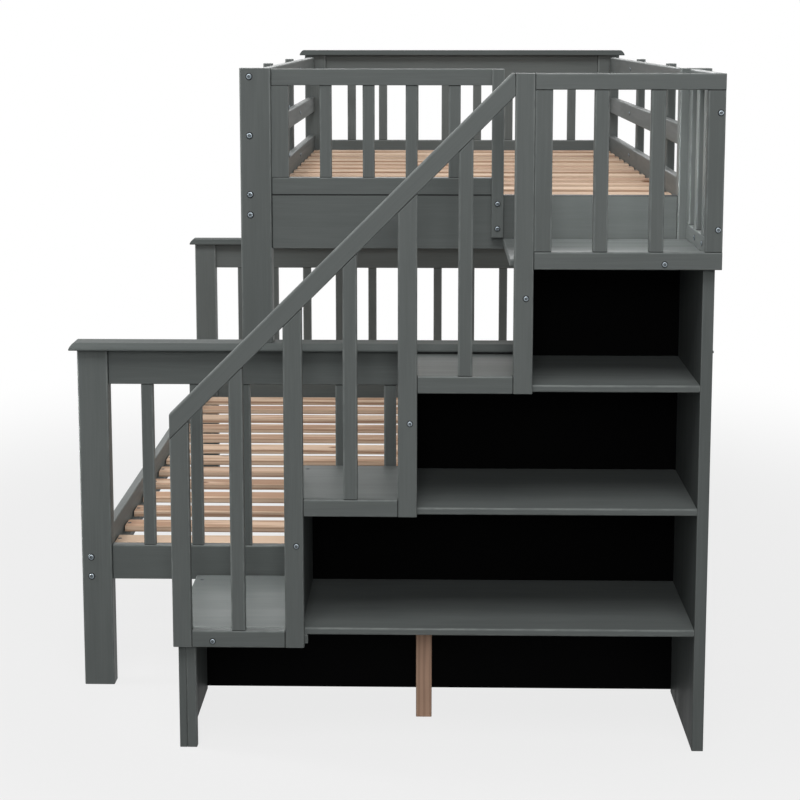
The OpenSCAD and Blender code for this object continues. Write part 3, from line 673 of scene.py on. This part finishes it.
class Look(Enum):
    """Finishes of the pieces, each with the name of a material slot of the record; the script sets no slot with it.
    """

    PAINT = (PaintFinish(), "gray_paint")
    DULL_PAINT = (PaintFinish("gray_paint_dull", edge_lightening=0.08, specular=0.025), "gray_paint")
    # A darker copy of the gray paint for the caps: painted shade that stands in for less light on their slopes.
    CAP_PAINT = (PaintFinish("gray_paint_cap", srgb(75, 79, 78), srgb(82, 86, 85), edge_lightening=0.0, specular=0.02),
        "gray_paint")
    PINE = (WoodFinish("natural_pine_bare", srgb(214, 187, 163), srgb(176, 142, 118), srgb(122, 84, 60)),
        "natural_pine")
    LEG = (WoodFinish("plain_leg_wood_bare", srgb(190, 157, 135), srgb(166, 133, 114), srgb(116, 87, 71),
        ring_share=0.6, tone_share=0.1), "plain_leg_wood")
    # Black boards as painted shade deep inside the stair compartments.
    BLACK = (ShadeBlackFinish(), "black_board")
    ZINC = (ZincFinish(), "zinc_steel")

    def __init__(self, finish: PaintFinish | WoodFinish | ShadeBlackFinish | ZincFinish, slot: str) -> None:
        """Keeps the finish and the slot."""
        self.finish, self.slot = finish, slot


# Repeated pieces


def open_tree(name: str, sockets: dict[str, str]) -> tuple[Tree, Bench, Node]:
    """Starts a geometry tree.

    Args:
        name: Name of the tree.
        sockets: Type of each named input after the geometry.

    Returns:
        The tree, its bench and its group input.
    """
    tree = bpy.data.node_groups.new(name, "GeometryNodeTree")
    tree.interface.new_socket("Geometry", in_out="INPUT", socket_type="NodeSocketGeometry")
    for label, kind in sockets.items():
        tree.interface.new_socket(label, in_out="INPUT", socket_type=kind)
    tree.interface.new_socket("Geometry", in_out="OUTPUT", socket_type="NodeSocketGeometry")
    bench = Bench(tree)
    return tree, bench, bench.add("NodeGroupInput")


def close_tree(bench: Bench, given: Node, copies: Socket, with_own: bool, least: Socket | float = 0.0) -> None:
    """Gives each copy a tone, makes the copies real and sets their finish.

    Args:
        bench: Bench of the tree.
        given: Group input, with the inputs Seed and Finish.
        copies: Socket with the instances.
        with_own: True to keep the object's own mesh beside the copies.
        least: Least tone of a copy.
    """
    draw = bench.add("FunctionNodeRandomValue", {"data_type": "FLOAT"}, Min=0.0, Max=1.0, Seed=given.outputs["Seed"])
    tone = bench.math("ADD", live(draw), least)
    toned = bench.add("GeometryNodeStoreNamedAttribute", {"data_type": "FLOAT", "domain": "INSTANCE"},
        Geometry=copies, Name="tone", Value=tone)
    real = bench.add("GeometryNodeRealizeInstances", Geometry=toned.outputs[0]).outputs[0]
    if with_own:
        joined = bench.add("GeometryNodeJoinGeometry", Geometry=given.outputs["Geometry"])
        bench.put(joined, "Geometry", real)
        real = joined.outputs[0]
    finished = bench.add("GeometryNodeSetMaterial", Geometry=real, Material=given.outputs["Finish"])
    bench.add("NodeGroupOutput", Geometry=finished.outputs[0])


def row_tree() -> Tree:
    """Tree that sets copies of one board in a row, beside the object's own mesh.

    Returns:
        The tree.
    """
    tree, bench, given = open_tree("board_row", {
        "Board": "NodeSocketObject", "Count": "NodeSocketInt", "Start": "NodeSocketVector",
        "Step": "NodeSocketVector", "Seed": "NodeSocketInt", "Tone": "NodeSocketFloat",
        "Finish": "NodeSocketMaterial"})
    line = bench.add("GeometryNodeMeshLine", {"mode": "OFFSET", "count_mode": "TOTAL"},
        Count=given.outputs["Count"], Start_Location=given.outputs["Start"], Offset=given.outputs["Step"])
    board = bench.add("GeometryNodeObjectInfo", Object=given.outputs["Board"])
    copies = bench.add("GeometryNodeInstanceOnPoints", Points=line.outputs[0], Instance=board.outputs["Geometry"])
    close_tree(bench, given, copies.outputs[0], True, given.outputs["Tone"])
    return tree


def driven_tree() -> Tree:
    """Tree that drives one fastener into each point, turned by the point's attribute.

    Returns:
        The tree.
    """
    tree, bench, given = open_tree("driven_fasteners", {
        "Fastener": "NodeSocketObject", "Seed": "NodeSocketInt", "Finish": "NodeSocketMaterial"})
    master = bench.add("GeometryNodeObjectInfo", Object=given.outputs["Fastener"])
    turn = bench.add("GeometryNodeInputNamedAttribute", {"data_type": "FLOAT_VECTOR"}, Name="turn")
    copies = bench.add("GeometryNodeInstanceOnPoints", Points=given.outputs["Geometry"],
        Instance=master.outputs["Geometry"], Rotation=live(turn))
    spin = bench.add("FunctionNodeRandomValue", {"data_type": "FLOAT"}, Min=0.0, Max=math.tau,
        Seed=given.outputs["Seed"])
    about = bench.add("ShaderNodeCombineXYZ", Z=live(spin))
    spun = bench.add("GeometryNodeRotateInstances", Instances=copies.outputs[0], Rotation=about.outputs[0],
        Local_Space=True)
    close_tree(bench, given, spun.outputs[0], False)
    return tree


def grow(made: Piece, tree: Tree, master: Piece, **inputs: object) -> Piece:
    """Runs a tree on an object and keeps the result as its plain mesh.

    Args:
        made: Object that gets the result.
        tree: Tree to run.
        master: Object that is copied, and removed after the run.
        **inputs: Value of each named input.

    Returns:
        The object, without a modifier.
    """
    modifier = made.modifiers.new("grow", "NODES")
    modifier.node_group = tree
    ids = {item.name: item.identifier for item in tree.interface.items_tree if item.in_out == "INPUT"}
    for key, value in inputs.items():
        modifier[ids[key]] = value
    made.update_tag()
    bpy.context.view_layer.update()
    graph = bpy.context.evaluated_depsgraph_get()
    result = bpy.data.meshes.new_from_object(made.evaluated_get(graph), preserve_all_data_layers=True,
        depsgraph=graph)
    made.modifiers.remove(modifier)
    made.data = result
    result.name = made.name
    bpy.data.objects.remove(master)
    return made


@dataclass
class Workshop:
    """Holds the finishes and trees, and hands each piece to the frame."""

    finishes: dict[Look, Material]
    rows: Tree
    fasteners: Tree
    count: int = 0

    @classmethod
    def opened(cls) -> "Workshop":
        """Makes the finishes and the trees."""
        return cls({look: look.finish.material() for look in Look}, row_tree(), driven_tree())

    def hand_in(self, made: Piece, look: Look, *nodes: str) -> None:
        """Gives a finished piece its body, and hides the CAD nodes that it replaces.

        Args:
            made: The piece.
            look: Finish of the piece; not used.
            *nodes: CAD nodes that it replaces.
        """
        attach(made, ROOT)
        if nodes:
            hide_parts(*nodes)
        self.count += 1
        log.info("%s: %d faces for %s", made.name, len(made.data.polygons), ", ".join(nodes) or "detail")

    def boards(self, node: str, cut: Cut | Callable[[Solid], Cut], look: Look = Look.PAINT,
               shape: Callable[[Solid], list[Point]] = Solid.box, seam: Optional[float] = None) -> None:
        """Makes every solid of a node as a board of its own.

        Args:
            node: CAD node.
            cut: How the boards are cut, or what gives it for a solid.
            look: Finish of the boards.
            shape: Gives a solid's corners.
            seam: Height at which the boards lie on other ones, where a thin line of painted shade goes.
        """
        draft = Draft(node + SUFFIX)
        for solid in solids_of(node):
            draft.board(shape(solid), cut(solid) if callable(cut) else cut)
        if seam is not None:
            draft.mark_seam(seam)
        self.hand_in(draft.piece(self.finishes[look]), look, node)

    def row(self, node: str, cut: Cut, seed: int, trim: Point = (0.0, 0.0, 0.0), look: Look = Look.PAINT,
            tone: float = 0.0, stiles: Sequence[Cut] = ()) -> None:
        """Makes the solids of a node as a row of equal boards, between two stiles where it has them.

        Args:
            node: CAD node.
            cut: How the boards of the row are cut.
            seed: Seed of their tones.
            trim: Length of their tenons, which is left off, on each axis.
            look: Finish of the boards.
            tone: Least tone of a board.
            stiles: How the first and the last solid are cut, where they are stiles.
        """
        members, draft = solids_of(node), Draft(node + SUFFIX)
        if stiles:
            for solid, stile in zip((members[0], members[-1]), stiles):
                draft.board(solid.box(), stile)
            members = members[1:-1]
        first, last = members[0], members[-1]
        finish = self.finishes[look]
        master = Draft(node + "_master")
        master.board([tuple(Vector(corner) - first.middle) for corner in first.box(trim)], cut)
        board = master.piece(finish, False)
        step = (last.middle - first.middle) / max(len(members) - 1, 1)
        made = grow(draft.piece(finish), self.rows, board, Board=board, Count=len(members), Start=first.middle,
            Step=step, Seed=seed, Tone=tone, Finish=finish)
        self.hand_in(made, look, node)


# Sub-assemblies


@dataclass(kw_only=True)
class SubAssembly:
    """Part of the bed, whose pieces the workshop makes."""

    shop: Workshop
    joint_edge: float = 0.7 * MM

    def cut(self, grain: Grain | Vector, edge: float, ends: Ends = Ends.BOTH) -> Cut:
        """Cut of a board whose ends have the edge of the joints."""
        return Cut(grain, edge, self.joint_edge, ends)


@dataclass(kw_only=True)
class EndFrame(SubAssembly):
    """Two posts, two rails, a row of balusters and a cap."""

    prefix: str
    low_rail: str = "bottom_rail"
    seed: int = 1
    post_edge: float = 3.0 * MM
    rail_edge: float = 2.5 * MM
    baluster_edge: float = 3.0 * MM
    rail_tenon: float = 25 * MM
    baluster_tenon: float = 8 * MM
    cap_profile: tuple[tuple[float, float], ...] = (
        (0.0, 0.0), (0.24, 0.0), (0.56, 3.0 * MM), (0.82, 6.5 * MM), (1.0, 10.5 * MM))
    cap_edge: float = 1.2 * MM

    def build(self) -> None:
        """Makes all the pieces of the frame."""
        for side in ("left", "right"):
            self.shop.boards(f"{self.prefix}_post_{side}", self.cut(Grain.UP, self.post_edge, Ends.NONE))
        for rail in (self.low_rail, "top_rail"):
            self.shop.boards(f"{self.prefix}_{rail}", self.cut(Grain.ACROSS, self.rail_edge),
                shape=lambda solid: solid.box((self.rail_tenon, 0, 0)))
        self.shop.row(f"{self.prefix}_balusters", self.cut(Grain.UP, self.baluster_edge), self.seed,
            (0, 0, self.baluster_tenon))
        self.shop.boards(f"{self.prefix}_cap", Cut(Grain.ACROSS, self.cap_edge, self.cap_edge, Ends.NONE),
            Look.CAP_PAINT, self.cap_corners)

    def cap_corners(self, solid: Solid) -> list[Point]:
        """Corners of a cap that rounds back above its upright edge, by the levels of its profile."""
        low, high = solid.low, solid.high
        return [
            (x, y, low.z + share * (high.z - low.z)) for share, back in self.cap_profile
            for x in (low.x + back, high.x - back) for y in (low.y + back, high.y - back)
        ]


@dataclass(kw_only=True)
class EntryEnd(SubAssembly):
    """Posts and end board of the bunk, where the stairs arrive."""

    post_edge: float = 3.0 * MM
    board_edge: float = 1.2 * MM
    rail_tenon: float = 25 * MM

    def build(self) -> None:
        """Makes the posts and the board."""
        for side in ("left", "right"):
            self.shop.boards(f"upper_foot_post_{side}", self.cut(Grain.UP, self.post_edge, Ends.NONE))
        self.shop.boards("upper_foot_board", self.cut(Grain.ACROSS, self.board_edge),
            shape=lambda solid: solid.box((self.rail_tenon, 0, 0)), seam=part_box("upper_foot_board")[1].z)


@dataclass(kw_only=True)
class BedBase(SubAssembly):
    """Side rails, ledgers and slats of one bed, with the beam where it has one."""

    prefix: str
    seed: int
    with_beam: bool = False
    # Least tone of the slats, lowered on the upper bed as painted shade that holds down their brightness under the
    # top light.
    slat_shade_tone: float = 0.0
    rail_edge: float = 3.0 * MM
    ledger_edge: float = 1.5 * MM
    slat_edge: float = 2.0 * MM

    def build(self) -> None:
        """Makes all the pieces of the base."""
        for side in ("left", "right"):
            self.shop.boards(f"{self.prefix}_side_rail_{side}", self.cut(Grain.ALONG, self.rail_edge))
        self.shop.boards(f"{self.prefix}_ledgers", self.cut(Grain.ALONG, self.ledger_edge))
        self.shop.row(f"{self.prefix}_slats", self.cut(Grain.ACROSS, self.slat_edge), self.seed,
            look=Look.PINE, tone=self.slat_shade_tone)
        if self.with_beam:
            self.shop.boards("lower_centre_beam", self.cut(Grain.ALONG, self.slat_edge), Look.PINE)
            self.shop.boards("lower_centre_legs", self.cut(Grain.UP, self.slat_edge), Look.PINE)


@dataclass(kw_only=True)
class SideGuard(SubAssembly):
    """Two bars and two stiles along one side of the bunk."""

    side: str
    edge: float = 3.0 * MM
    joint_edge: float = 0.8 * MM

    def build(self) -> None:
        """Makes the bars and the stiles."""
        for part, grain in (("bars", Grain.ALONG), ("stiles", Grain.UP)):
            self.shop.boards(f"{self.side}_guard_{part}", self.cut(grain, self.edge, Ends.NONE))


@dataclass(kw_only=True)
class EndGuard(SubAssembly):
    """Rails, balusters and stiles of the bunk's guard beside the way in."""

    rail_edge: float = 1.2 * MM
    baluster_edge: float = 3.0 * MM
    baluster_tenon: float = 8 * MM
    seed: int = 11

    def build(self) -> None:
        """Makes the rails and the uprights."""
        self.shop.boards("end_guard_rails", self.cut(Grain.ACROSS, self.rail_edge, Ends.LOW),
            seam=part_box("upper_foot_board")[1].z)
        stiles = [self.cut(Grain.UP, self.rail_edge, ends) for ends in (Ends.BOTH, Ends.NONE)]
        self.shop.row("end_guard_uprights", self.cut(Grain.UP, self.baluster_edge), self.seed,
            (0, 0, self.baluster_tenon), stiles=stiles)


@dataclass(kw_only=True)
class StairUnit(SubAssembly):
    """Panels, risers, treads and shelves of the storage staircase."""

    tread_edge: float = 3.0 * MM
    panel_edge: float = 1.5 * MM
    back_edge: float = 0.6 * MM
    batten_edge: float = 2.0 * MM
    leg_edge: float = 2.5 * MM
    joint_edge: float = 0.6 * MM

    def build(self) -> None:
        """Makes all the pieces of the unit."""
        panel = self.cut(Grain.UP, self.panel_edge, Ends.NONE)
        for node in ("stair_left_panel", "stair_right_panel", "stair_risers"):
            self.shop.boards(node, panel, Look.DULL_PAINT)
        tread = Cut(Grain.ACROSS, self.tread_edge, self.panel_edge, Ends.NONE)
        for node in ("tread_1", "tread_2", "tread_3", "platform"):
            self.shop.boards(node, tread)
        # The back panels are black as painted shade deep inside the compartments.
        self.shop.boards("stair_back_panels", Cut(Grain.ACROSS, self.back_edge, self.back_edge), Look.BLACK)
        self.shop.boards("shelf_leg", self.cut(Grain.UP, self.leg_edge), Look.LEG)
        self.shop.boards("stair_battens", self.batten_cut)

    def batten_cut(self, batten: Solid) -> Cut:
        """Finds how a batten is cut.

        Args:
            batten: The batten's solid.

        Returns:
            Its cut, with the end marked that meets a tread or the panel.
        """
        size = batten.high - batten.low
        grain, ends = (Grain.UP, Ends.HIGH) if size.z > size.x else (Grain.ACROSS, Ends.LOW)
        return self.cut(grain, self.batten_edge, ends)


@dataclass(kw_only=True)
class Railing(SubAssembly):
    """Newels, balusters, bars and the handrail up the stairs."""

    newel_edge: float = 2.5 * MM
    baluster_edge: float = 3.0 * MM
    bar_edge: float = 2.5 * MM
    handrail_edge: float = 3.0 * MM
    joint_edge: float = 0.8 * MM

    def build(self) -> None:
        """Makes all the pieces of the railing."""
        self.shop.boards("railing_newels", self.newel_cut, shape=Solid.slanted)
        self.shop.boards("railing_balusters", self.cut(Grain.UP, self.baluster_edge), shape=Solid.slanted)
        self.shop.boards("railing_bars", self.cut(Grain.ACROSS, self.bar_edge))
        corners = solids_of("handrail")[0].slanted()
        slope = (Vector(corners[4]) - Vector(corners[0])).normalized()
        self.shop.boards("handrail", self.cut(slope, self.handrail_edge, Ends.HIGH),
            shape=lambda solid: [tuple(point) for point in solid.points])

    def newel_cut(self, newel: Solid) -> Cut:
        """Cut of a newel, whose top meets the handrail except on the last one, which stands free."""
        is_last = newel.high.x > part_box("railing_newels")[1].x - MM
        return self.cut(Grain.UP, self.newel_edge, Ends.NONE if is_last else Ends.HIGH)


@dataclass(kw_only=True)
class PlatformGuard(SubAssembly):
    """Bars, stiles and balusters round the platform."""

    bar_edge: float = 2.5 * MM
    stile_edge: float = 2.5 * MM
    baluster_edge: float = 3.0 * MM
    seed: int = 21

    def build(self) -> None:
        """Makes the front and the side of the guard."""
        self.shop.boards("platform_guard_bars", self.cut(Grain.ACROSS, self.bar_edge, Ends.LOW))
        self.shop.boards("side_guard_bars", self.cut(Grain.ALONG, self.bar_edge))
        stile = self.cut(Grain.UP, self.stile_edge)
        baluster = self.cut(Grain.UP, self.baluster_edge)
        for step, node in enumerate(("platform_guard_uprights", "side_guard_uprights")):
            self.shop.row(node, baluster, self.seed + step, stiles=(stile, stile))


@dataclass(frozen=True)
class Fastener:
    """A turned fastener with a hexagon socket, pointing out along +Z from the wood's face."""

    name: str
    head: Head
    radius: float
    height: float
    shank_radius: float
    shank: float
    socket: float
    sides: int = 24
    crease: float = math.radians(38)

    def profile(self) -> list[tuple[float, float, float, bool]]:
        """Rings from the tip of the shank to the floor of the socket.

        Returns:
            Radius, height, share of painted shade and whether the ring is a hexagon.
        """
        crown, well = self.head.value
        shank = ((0.55, -self.shank), (1.0, -self.shank * 0.94), (1.0, -0.1 * MM))
        rings = [(self.shank_radius * share, height, 0.0, False) for share, height in shank]
        for radius, parts, is_hexagon in ((self.radius, crown, False), (self.socket, well, True)):
            rings += [(radius * share, self.height * level, head_shade, is_hexagon) for share, level, head_shade in parts]
        return rings

    def master(self, finish: Material) -> Piece:
        """Makes the fastener once.

        Args:
            finish: Its material.

        Returns:
            The master object.
        """
        points, faces, head_shade = [], [], []
        rings, sector = self.profile(), math.pi / 3
        for radius, height, socket_shade, is_hexagon in rings:
            for side in range(self.sides):
                angle = math.tau * side / self.sides
                reach = radius
                if is_hexagon:
                    reach *= math.cos(sector / 2) / math.cos(angle % sector - sector / 2)
                points.append((reach * math.cos(angle), reach * math.sin(angle), height))
                head_shade.append(socket_shade)
        for ring in range(len(rings) - 1):
            for side in range(self.sides):
                a, b = ring * self.sides + side, ring * self.sides + (side + 1) % self.sides
                faces.append((a, b, b + self.sides, a + self.sides))
        faces.append(tuple(reversed(range(self.sides))))
        faces.append(tuple(range(len(points) - self.sides, len(points))))
        # The rim attribute carries the share of painted shade on each ring.
        made = make_piece(self.name + "_master", points, faces, finish, grain=points, rim=head_shade)
        made.data.set_sharp_from_angle(angle=self.crease)
        return made


@dataclass(frozen=True)
class DrivenPlace:
    """Where a fastener's head sits, and which way it looks."""

    place: Vector
    outward: Vector


BED_BOLT = Fastener("bed_bolt", Head.DOMED, radius=6.2 * MM, height=2.4 * MM, shank_radius=3 * MM,
    shank=84 * MM, socket=3.2 * MM)
WOOD_SCREW = Fastener("wood_screw", Head.DOMED, radius=5.2 * MM, height=2.4 * MM, shank_radius=2 * MM,
    shank=33 * MM, socket=2.7 * MM)
FLUSH_SCREW = Fastener("flush_screw", Head.FLUSH, radius=5.2 * MM, height=0.25 * MM, shank_radius=2 * MM,
    shank=27 * MM, socket=1.9 * MM)
BARREL_NUT = Fastener("barrel_nut", Head.FLUSH, radius=5.0 * MM, height=0.25 * MM, shank_radius=4.6 * MM,
    shank=14.5 * MM, socket=2.4 * MM)


@dataclass(kw_only=True)
class Hardware(SubAssembly):
    """Bolts, nuts, screws and pins."""

    pin_edge: float = 1.0 * MM
    pin_sides: int = 24
    bunk_start: float = 0.6
    wide_share: float = 0.95
    seed: int = 31

    def build(self) -> None:
        """Makes all the fasteners."""
        self.drive("bed_bolts", BED_BOLT, map(self.head_end, solids_of("bed_bolts")))
        screws = [self.head_end(solid) for solid in solids_of("wood_screws")]
        self.drive("wood_screws", WOOD_SCREW, (at for at in screws if abs(at.outward.z) < 0.5))
        self.drive("tread_screws", FLUSH_SCREW, (at for at in screws if abs(at.outward.z) >= 0.5))
        self.drive("slat_screws", FLUSH_SCREW, map(self.head_end, solids_of("slat_screws")))
        self.drive("barrel_nuts", BARREL_NUT, map(self.nut_face, solids_of("barrel_nuts")))
        self.build_pins()

    def head_end(self, solid: Solid) -> DrivenPlace:
        """Finds the wider end of a bolt or a screw.

        Args:
            solid: The fastener's solid.

        Returns:
            The place where its head meets the wood, and the way that it looks.
        """
        size = solid.high - solid.low
        axis = max(range(3), key=lambda index: size[index])
        offsets = np.delete(solid.points - np.array(solid.middle), axis, axis=1)
        reach = np.hypot(offsets[:, 0], offsets[:, 1])
        wide = solid.points[reach > self.wide_share * reach.max()][:, axis]
        at_high = abs(wide.mean() - solid.high[axis]) < abs(wide.mean() - solid.low[axis])
        outward, place = Vector((0, 0, 0)), solid.middle
        outward[axis] = 1.0 if at_high else -1.0
        under_head = wide.min() if at_high else wide.max()
        place[axis] = float(under_head if np.ptp(wide) > MM else wide.mean())
        return DrivenPlace(place, outward)

    def nut_face(self, solid: Solid) -> DrivenPlace:
        """Finds the face of a barrel nut that shows inside a rail.

        Args:
            solid: The nut's solid.

        Returns:
            The place of the face, and the way that it looks.
        """
        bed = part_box("lower_slats" if solid.middle.z < self.bunk_start else "upper_slats")
        inward = 1.0 if solid.middle.x < (bed[0].x + bed[1].x) / 2 else -1.0
        place = solid.middle
        place.x = solid.high.x if inward > 0 else solid.low.x
        return DrivenPlace(place, Vector((inward, 0, 0)))

    def drive(self, name: str, fastener: Fastener, places: Iterable[DrivenPlace]) -> None:
        """Drives a fastener into each place, for the CAD node of that name where there is one.

        Args:
            name: Name of the fasteners.
            fastener: Fastener to copy.
            places: Places of the heads.
        """
        spots = list(places)
        turns = [tuple(at.outward.to_track_quat("Z", "Y").to_euler()) for at in spots]
        finish = self.shop.finishes[Look.ZINC]
        master = fastener.master(finish)
        made = make_piece(name + SUFFIX, [tuple(at.place) for at in spots], [], finish, turn=turns)
        self.seed += 1
        made = grow(made, self.shop.fasteners, master, Fastener=master, Seed=self.seed, Finish=finish)
        nodes = [name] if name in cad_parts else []
        self.shop.hand_in(made, Look.ZINC, *nodes)

    def build_pins(self) -> None:
        """Makes the pins between the lower and the upper posts."""
        node = "stacking_pins"
        draft = Draft(node + SUFFIX)
        turns = [math.tau * side / self.pin_sides for side in range(self.pin_sides)]
        for solid in solids_of(node):
            middle, radius = solid.middle, (solid.high.x - solid.low.x) / 2
            corners = [
                (middle.x + radius * math.cos(turn), middle.y + radius * math.sin(turn), z)
                for z in (solid.low.z, solid.high.z) for turn in turns
            ]
            draft.board(corners, Cut(Grain.UP, 0.0, self.pin_edge))
        self.shop.hand_in(draft.piece(self.shop.finishes[Look.ZINC]), Look.ZINC, node)


# Studio


@dataclass(frozen=True)
class SoftBox:
    """Rectangular light, with its width and height, its power in watts and its spread in degrees."""

    name: str
    place: Point
    target: Point
    size: tuple[float, float]
    power: float
    spread: float = 180.0

    def hang(self) -> None:
        """Hangs the light where the camera doesn't see it."""
        data = bpy.data.lights.new(self.name, "AREA")
        data.spread = math.radians(self.spread)
        data.shape = "RECTANGLE"
        data.size, data.size_y = self.size
        data.energy = self.power
        light = bpy.data.objects.new(self.name, data)
        light.location = self.place
        light.rotation_euler = (Vector(self.target) - Vector(self.place)).to_track_quat("-Z", "Y").to_euler()
        light.visible_camera = False
        bpy.context.scene.collection.objects.link(light)


SOFT_BOXES = (
    SoftBox("key_light", (0.1, -5.6, 3.0), (0.0, -1.0, 0.9), (1.2, 2.0), 67.0),
    SoftBox("fill_light", (0.1, -6.0, 2.3), (0.0, -1.0, 0.7), (1.2, 1.2), 42.0),
    SoftBox("tread_light", (-2.4, -0.95, 3.2), (-0.35, -1.0, 0.3), (0.8, 0.8), 38.0),
    SoftBox("step_light", (-1.6, -0.86, 1.05), (-0.25, -0.93, 0.27), (0.2, 0.2), 1.35, 40.0),
    SoftBox("guard_light", (0.27, -1.09, 1.5), (0.62, -0.88, 1.14), (0.08, 0.08), 0.95, 80.0),
    SoftBox("top_light", (0.0, -5.1, 8.2), (0.0, -0.9, 0.5), (5.0, 4.0), 545.0),
    SoftBox("back_light", (0.0, 5.5, 4.0), (0.0, 0.9, 0.9), (4.0, 2.0), 170.0),
    SoftBox("left_light", (-5.6, 0.4, 1.1), (0.0, 0.2, 0.8), (3.0, 2.0), 140.0),
    SoftBox("right_light", (5.6, 0.4, 1.1), (0.0, 0.2, 0.8), (3.0, 2.0), 165.0),
)


@dataclass(frozen=True)
class Studio:
    """Floor, lights, background and camera."""

    camera_place: Point = (0.1018, -4.6607, 1.5256)
    camera_pitch: float = 0.13585
    camera_yaw: float = 0.02048
    camera_lens: float = 77.076
    camera_rise: float = -0.17
    camera_sensor: float = 36.0
    camera_reach: float = 200.0
    floor_half: float = 30.0
    floor_dark: Colour = srgb(122, 122, 122)
    floor_light: Colour = srgb(130, 130, 130)
    floor_grit: Point = (60, 60, 60)
    floor_glow: float = 0.8
    glow_start: float = 1.2
    glow_stop: float = 3.2
    ambient: float = 0.1

    def build(self) -> None:
        """Sets up the whole studio."""
        self.build_camera()
        self.build_floor()
        self.build_world()
        for box in SOFT_BOXES:
            box.hang()
        bpy.context.scene.view_settings.view_transform = "Standard"

    def build_camera(self) -> None:
        """Sets the camera where the photograph was taken."""
        data = bpy.data.cameras.new("camera")
        data.sensor_width = self.camera_sensor
        data.lens = self.camera_lens
        data.shift_y = self.camera_rise
        data.clip_end = self.camera_reach
        camera = bpy.data.objects.new("camera", data)
        camera.location = self.camera_place
        camera.rotation_euler = (math.pi / 2 - self.camera_pitch, 0.0, self.camera_yaw)
        bpy.context.scene.collection.objects.link(camera)
        bpy.context.scene.camera = camera

    def build_floor(self) -> None:
        """Lays a pale floor that keeps a soft shadow near the object."""
        made, bench, shader = new_material("floor_white")
        place = bench.add("ShaderNodeTexCoord").outputs["Object"]
        grit = bench.noise(place, self.floor_grit)
        bench.put(shader, "Base Color", bench.blend(grit, self.floor_dark, self.floor_light))
        bench.put(shader, "Roughness", 0.9)
        bench.put(shader, "Specular IOR Level", 0.1)
        glow = bench.add("ShaderNodeEmission", Color=WHITE, Strength=1.0)
        length = bench.numbered("ShaderNodeVectorMath", (place,), operation="LENGTH").outputs["Value"]
        share = bench.ease(length, self.glow_start, self.glow_stop, self.floor_glow, 1.0)
        mixed = bench.mix(bench.math("MULTIPLY", share, bench.seen()), shader, glow)
        output = next(node for node in bench.tree.nodes if node.type == "OUTPUT_MATERIAL")
        bench.put(output, "Surface", mixed)
        half = self.floor_half
        corners = [(-half, -half, 0), (half, -half, 0), (half, half, 0), (-half, half, 0)]
        make_piece("floor", corners, [(0, 1, 2, 3)], made)

    def build_world(self) -> None:
        """Lights the scene evenly, and shows white behind it."""
        world = bpy.data.worlds.new("studio")
        world.use_nodes = True
        world.node_tree.nodes.clear()
        bench = Bench(world.node_tree)
        soft = bench.add("ShaderNodeBackground", Color=WHITE, Strength=self.ambient)
        white = bench.add("ShaderNodeBackground", Color=WHITE, Strength=1.0)
        bench.add("ShaderNodeOutputWorld", Surface=bench.mix(bench.seen(), soft, white))
        bpy.context.scene.world = world


def main() -> None:
    """Builds every sub-assembly and the studio."""
    logging.basicConfig(level=logging.INFO, format="%(name)s: %(message)s")
    Studio().build()
    shop = Workshop.opened()
    parts = (
        EndFrame(shop=shop, prefix="lower_foot", seed=1),
        EndFrame(shop=shop, prefix="lower_head", seed=2),
        EndFrame(shop=shop, prefix="upper_head", low_rail="board", seed=3),
        EntryEnd(shop=shop),
        BedBase(shop=shop, prefix="lower", seed=4, with_beam=True),
        # The upper slats get a darker tone as painted shade.
        BedBase(shop=shop, prefix="upper", seed=5, slat_shade_tone=-0.5, slat_edge=1.2 * MM),
        SideGuard(shop=shop, side="left"),
        SideGuard(shop=shop, side="right"),
        EndGuard(shop=shop),
        StairUnit(shop=shop),
        Railing(shop=shop),
        PlatformGuard(shop=shop),
        Hardware(shop=shop),
    )
    for part in parts:
        part.build()
    log.info("%d pieces finished", shop.count)


if __name__ == "__main__":
    main()
